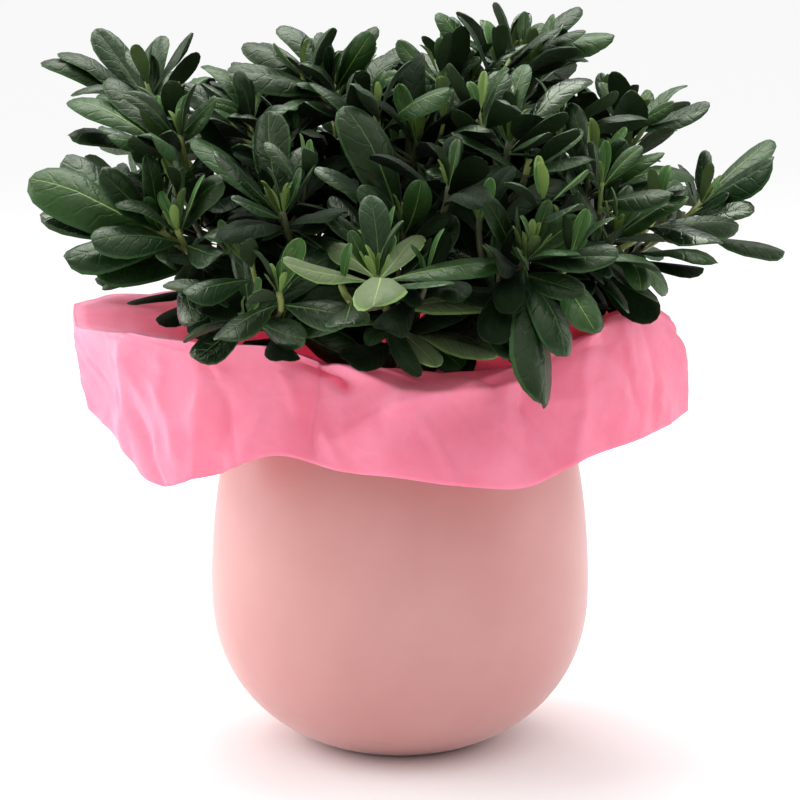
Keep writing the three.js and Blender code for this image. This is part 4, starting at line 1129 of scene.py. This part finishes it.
def is_free(points):
    """Whether a leaf is clear of all pieces and leaves so far; if so, it is one of them now"""
    tree = BVHTree.FromPolygons([Vector(p) for p in points], COARSE_FACES)
    low, high = points.min(axis=0), points.max(axis=0)
    middle, reach = (low + high) / 2, np.linalg.norm(high - low) / 2
    spheres = filled_spheres[:len(filled_trees)]
    near = np.linalg.norm(spheres[:, :3] - middle, axis=1) < spheres[:, 3] + reach
    if any(filled_trees[k].overlap(tree) for k in np.flatnonzero(near)):
        return False
    remember(tree, points)
    return True


def fitted(leaf):
    """The leaf, lifted or lowered a little where its blade would pass through another piece"""
    for lift in LEAF_LIFTS:
        way = (leaf["way"] + leaf["face"] * lift).normalized()
        face = (leaf["face"] - leaf["way"] * lift).normalized()
        tried = {**leaf, "way": way, "face": face}
        if is_free(shape_leaf(tried, COARSE, COARSE_WIDTHS)):
            return tried
    return None


# First the whorls, single leaves and twig whorls that the solids have, in the same order and from
# the same dice, then what only shows close by: unfolding leaves, fuller whorls, finer twigs, and
# last the leaves in the shade inside. The crown is open at its edge: stems that end beyond
# OPEN_EDGE, and the pale one low at the front, get their fuller leaves within INNER_REACH only.
OPEN_EDGE = 115
PALE_STEM = "front_low"
INNER_REACH = 0.68
SHARES_BELOW = (0.5, 0.8)
FINER_SHARES = (0.25, 0.35, 0.45, 0.55, 0.65, 0.75, 0.85)
SHADE_SHARES = (0.1, 0.2, 0.3, 0.4, 0.5, 0.6, 0.7, 0.8, 0.9)
SHADE_DICE = 31337
FULLER_TURN = OUTWARD + 68
rounds = [[] for _ in range(9)]
for spray in sprays:
    dice, finer = spray["dice"], spray["finer"]
    stem, twigs, fine_twigs = spray["stem"], spray["twigs"], spray["fine_twigs"]
    known = shown_leaves(stem, SHOWN_LEAVES.get(spray["name"], ()))
    ruled = whorl(dice, stem, STEM_STEPS, 8, 0.78 if known else 1)
    grown = [
        known,
        [leaf for leaf in ruled if all(leaf["way"].dot(k["way"]) < NEAREST for k in known)],
        single_leaves(dice, stem, SHARES_BELOW, 0.75),
        twig_whorls(dice, twigs, 2, 0.72),
        young_leaves(finer, stem, 7, 0.72) + young_twig_leaves(finer, twigs, 4, 0.6),
        whorl(finer, stem, STEM_STEPS, 5, 0.62 if known else 0.84, FULLER_TURN, 0.05, 0.8)
        + twig_whorls(finer, twigs, 5, 0.7, FULLER_TURN),
        twig_whorls(finer, fine_twigs[:2], 5, 0.6) + young_twig_leaves(finer, fine_twigs[:2], 2, 0.8)
        + single_leaves(finer, stem, FINER_SHARES, 0.68),
        twig_whorls(finer, fine_twigs[2:], 5, 0.62),
    ]
    if math.hypot(stem.at(1).x, stem.at(1).y) > OPEN_EDGE or spray["name"] == PALE_STEM:
        grown[5:] = [
            [leaf for leaf in leaves if crown_share(leaf["root"]) < INNER_REACH] for leaves in grown[5:]
        ]
    shade = single_leaves(Dice(SHADE_DICE * spray["seed"]), stem, SHADE_SHARES, 0.62)
    grown.append([leaf for leaf in shade if crown_share(leaf["root"]) < INNER_REACH])
    for kind, leaves in enumerate(grown):
        for leaf in leaves:
            leaf["spray"], leaf["kind"] = spray, kind
            leaf["form"] = new_form(finer, leaf["youth"])
            rounds[kind].append(leaf)
leaves = [fit for kind in rounds for leaf in kind if (fit := fitted(leaf))]

# Leaf surfaces. Mature blades are dark and waxy, with a greyish bloom where light grazes them; fresh
# ones are brighter, and those inside the crown are painted near black, a painted shade. Seven pairs of
# side veins are drawn some 7 mm apart, with quilting of about 4 mm. Midrib and margin are paler, the
# underside is sage.
VEIN_PAIRS, VEIN_SLANT, VEIN_STRAY = 7, -0.42, 0.16
STRAY_PACE = 6.67
QUILTING = 3.85
SHARP_ANGLE = 95
# The last three colours are painted shade: near-black blade, rib and underside for leaves inside the crown
LEAF_COLOURS = {
    "deep_blade": ("#10260b", 0.38, 0.5), "mid_blade": ("#25441b", 0.40, 0.5),
    "blue_blade": ("#152e15", 0.34, 0.6), "wet_blade": ("#0f220d", 0.2, 0.9),
    "fresh_blade": ("#38602a", 0.42, 0.5), "lime_blade": ("#76904a", 0.45, 0.4),
    "sage_and_sheen_blade": ("#5f6e4a", 0.55, 0.3), "dark_rib": ("#4f7238", 0.5, 0.4),
    "pale_rib": ("#8ba556", 0.5, 0.4), "dark_margin": ("#2c4a26", 0.45, 0.4),
    "pale_margin": ("#6f8f4c", 0.5, 0.4), "dark_side": ("#22331a", 0.6, 0.3),
    "sage_side": ("#52683c", 0.6, 0.25), "shade_painted_blade": ("#091906", 0.6, 0.13),
    "shade_painted_rib": ("#13230c", 0.6, 0.15), "shade_painted_side": ("#0a1606", 0.7, 0.1),
}
# The inner tone is painted shade: its blade, rib, margin and underside are near black
LEAF_TONES = {
    "inner": ("shade_painted_blade", "shade_painted_rib", "shade_painted_rib", "shade_painted_side"),
    "deep": ("deep_blade", "dark_rib", "dark_margin", "dark_side"),
    "mid": ("mid_blade", "pale_rib", "dark_margin", "dark_side"),
    "blue": ("blue_blade", "dark_rib", "dark_margin", "dark_side"),
    "wet": ("wet_blade", "dark_rib", "dark_margin", "dark_side"),
    "fresh": ("fresh_blade", "pale_rib", "pale_margin", "sage_side"),
    "lime": ("lime_blade", "pale_rib", "pale_margin", "lime_blade"),
    "sage": ("sage_and_sheen_blade", "pale_rib", "pale_margin", "sage_side"),
}
# The tones that leaves of one age or place are dealt: each up to a share of the dice
OLD_TONES = ((0.42, "deep"), (0.68, "mid"), (0.9, "blue"), (1, "wet"))
YOUNG_TONES = ((0.35, "fresh"), (1, "mid"))
UNFOLDING_TONES = ((0.7, "lime"), (1, "fresh"))
# Leaves inside the crown are mostly dealt the near-black inner tone, a painted shade
SHADE_TONES = ((0.85, "inner"), (1, "deep"))
# The pale stem's shown leaves are sage on both sides: the underside's own colour, and on the upper side
# partly a painted sheen
PALE_TONES = ((0.85, "sage"), (1, "mid"))
YOUNG_FROM, UNFOLDING_FROM = 0.72, 1


def leaf_surface(name, colour, roughness, wax):
    """Veins and quilting are drawn on the leaf's own map: across its blade and along it"""
    material, tree, shader = new_material(name, {
        "Base Color": linear(colour), "IOR": 1.45, "Specular IOR Level": wax,
        "Specular Tint": linear("#e2f2cf"),
        "Sheen Weight": 0.05, "Sheen Roughness": 0.35,
    })
    chart = add_node(tree, "ShaderNodeUVMap", {}, uv_map="blade")
    axes = add_node(tree, "ShaderNodeSeparateXYZ", {"Vector": chart.outputs["UV"]})
    middle = add_node(tree, "ShaderNodeMath", {0: axes.outputs["X"], 1: 0.5}, operation="SUBTRACT")
    away = add_node(tree, "ShaderNodeMath", {0: middle.outputs[0]}, operation="ABSOLUTE")
    slant = add_node(tree, "ShaderNodeMath", {0: away.outputs[0], 1: VEIN_SLANT, 2: axes.outputs["Y"]},
                     operation="MULTIPLY_ADD")
    place = add_node(tree, "ShaderNodeTexCoord", {})
    wander = add_node(tree, "ShaderNodeTexNoise", {
        "Vector": place.outputs["Object"], "Scale": 1 / (STRAY_PACE * MM), "Detail": 2.0,
    })
    bowed = add_node(tree, "ShaderNodeMath", {
        0: wander.outputs["Fac"], 1: VEIN_STRAY, 2: slant.outputs[0],
    }, operation="MULTIPLY_ADD")
    count = add_node(tree, "ShaderNodeMath", {0: bowed.outputs[0], 1: 2 * math.pi * VEIN_PAIRS},
                     operation="MULTIPLY")
    ripple = add_node(tree, "ShaderNodeMath", {0: count.outputs[0]}, operation="SINE")
    ridge = add_node(tree, "ShaderNodeMapRange", {
        "Value": ripple.outputs[0], "From Min": 0.75, "From Max": 1.0, "To Min": 0.7, "To Max": 0.0,
    })
    quilt = add_node(tree, "ShaderNodeTexNoise", {
        "Vector": place.outputs["Object"], "Scale": 1 / (QUILTING * MM), "Detail": 4.0,
        "Roughness": 0.6,
    })
    height = add_node(tree, "ShaderNodeMath", {0: quilt.outputs["Fac"], 1: 2.4, 2: ridge.outputs[0]},
                      operation="MULTIPLY_ADD")
    relief = add_node(tree, "ShaderNodeBump", {
        "Height": height.outputs[0], "Strength": 0.38, "Distance": 0.0005,
    })
    gloss = add_node(tree, "ShaderNodeMapRange", {
        "Value": quilt.outputs["Fac"], "From Min": 0.3, "From Max": 0.7,
        "To Min": roughness - 0.08, "To Max": roughness + 0.1,
    })
    tree.links.new(relief.outputs["Normal"], shader.inputs["Normal"])
    tree.links.new(gloss.outputs[0], shader.inputs["Roughness"])
    return material


def tones_for(leaf):
    """Leaves that the photo shows on the pale stem first, then painted shade inside the crown, then age"""
    # Their upper sides are painted sage, partly as a painted sheen
    if leaf["kind"] == 0 and leaf["spray"]["name"] == PALE_STEM:
        return PALE_TONES
    # Painted shade: leaves inside the crown, other than shown and unfolding ones, get near-black tones
    if leaf["kind"] != 0 and leaf["youth"] < 1 and crown_share(leaf["root"]) < INNER_REACH:
        return SHADE_TONES
    if leaf["youth"] > UNFOLDING_FROM:
        return UNFOLDING_TONES
    return YOUNG_TONES if leaf["youth"] > YOUNG_FROM else OLD_TONES


leaf_materials = [leaf_surface(name, *look) for name, look in LEAF_COLOURS.items()]
leaf_slots = {name: k for k, name in enumerate(LEAF_COLOURS)}
dice = Dice(4242)
for leaf in leaves:
    chance = dice.roll(0, 1)
    tone = next(tone for share, tone in tones_for(leaf) if chance < share)
    leaf["tone"] = [leaf_slots[part] for part in LEAF_TONES[tone]]

for bough, (_, _, tips) in BOUGHS.items():
    own = [leaf for leaf in leaves if leaf["spray"]["bough"] == bough]
    points = [shape_leaf(leaf, PATTERN, PATTERN_WIDTHS) * MM for leaf in own]
    faces = [
        [corner + k * len(PATTERN) for corner in face] for k in range(len(own)) for face in PATTERN_FACES
    ]
    mesh = bpy.data.meshes.new(f"leaves_{bough}")
    mesh.from_pydata(np.concatenate(points), [], faces)
    tones = [np.array(leaf["tone"])[PATTERN_PARTS] for leaf in own]
    mesh.polygons.foreach_set("material_index", np.concatenate(tones).astype(np.int32))
    chart = np.stack([
        0.5 + 0.5 * PATTERN[:, 0] / np.maximum(PATTERN_WIDTHS, 1e-6), PATTERN[:, 1],
    ], axis=1)[PATTERN_CORNERS]
    mesh.uv_layers.new(name="blade").data.foreach_set("uv", np.tile(chart, (len(own), 1)).ravel())
    put_on_plant(
        f"leaves_{bough}", mesh, leaf_materials, [f"foliage_{name}" for name in tips],
    )
    mesh.set_sharp_from_angle(angle=math.radians(SHARP_ANGLE))
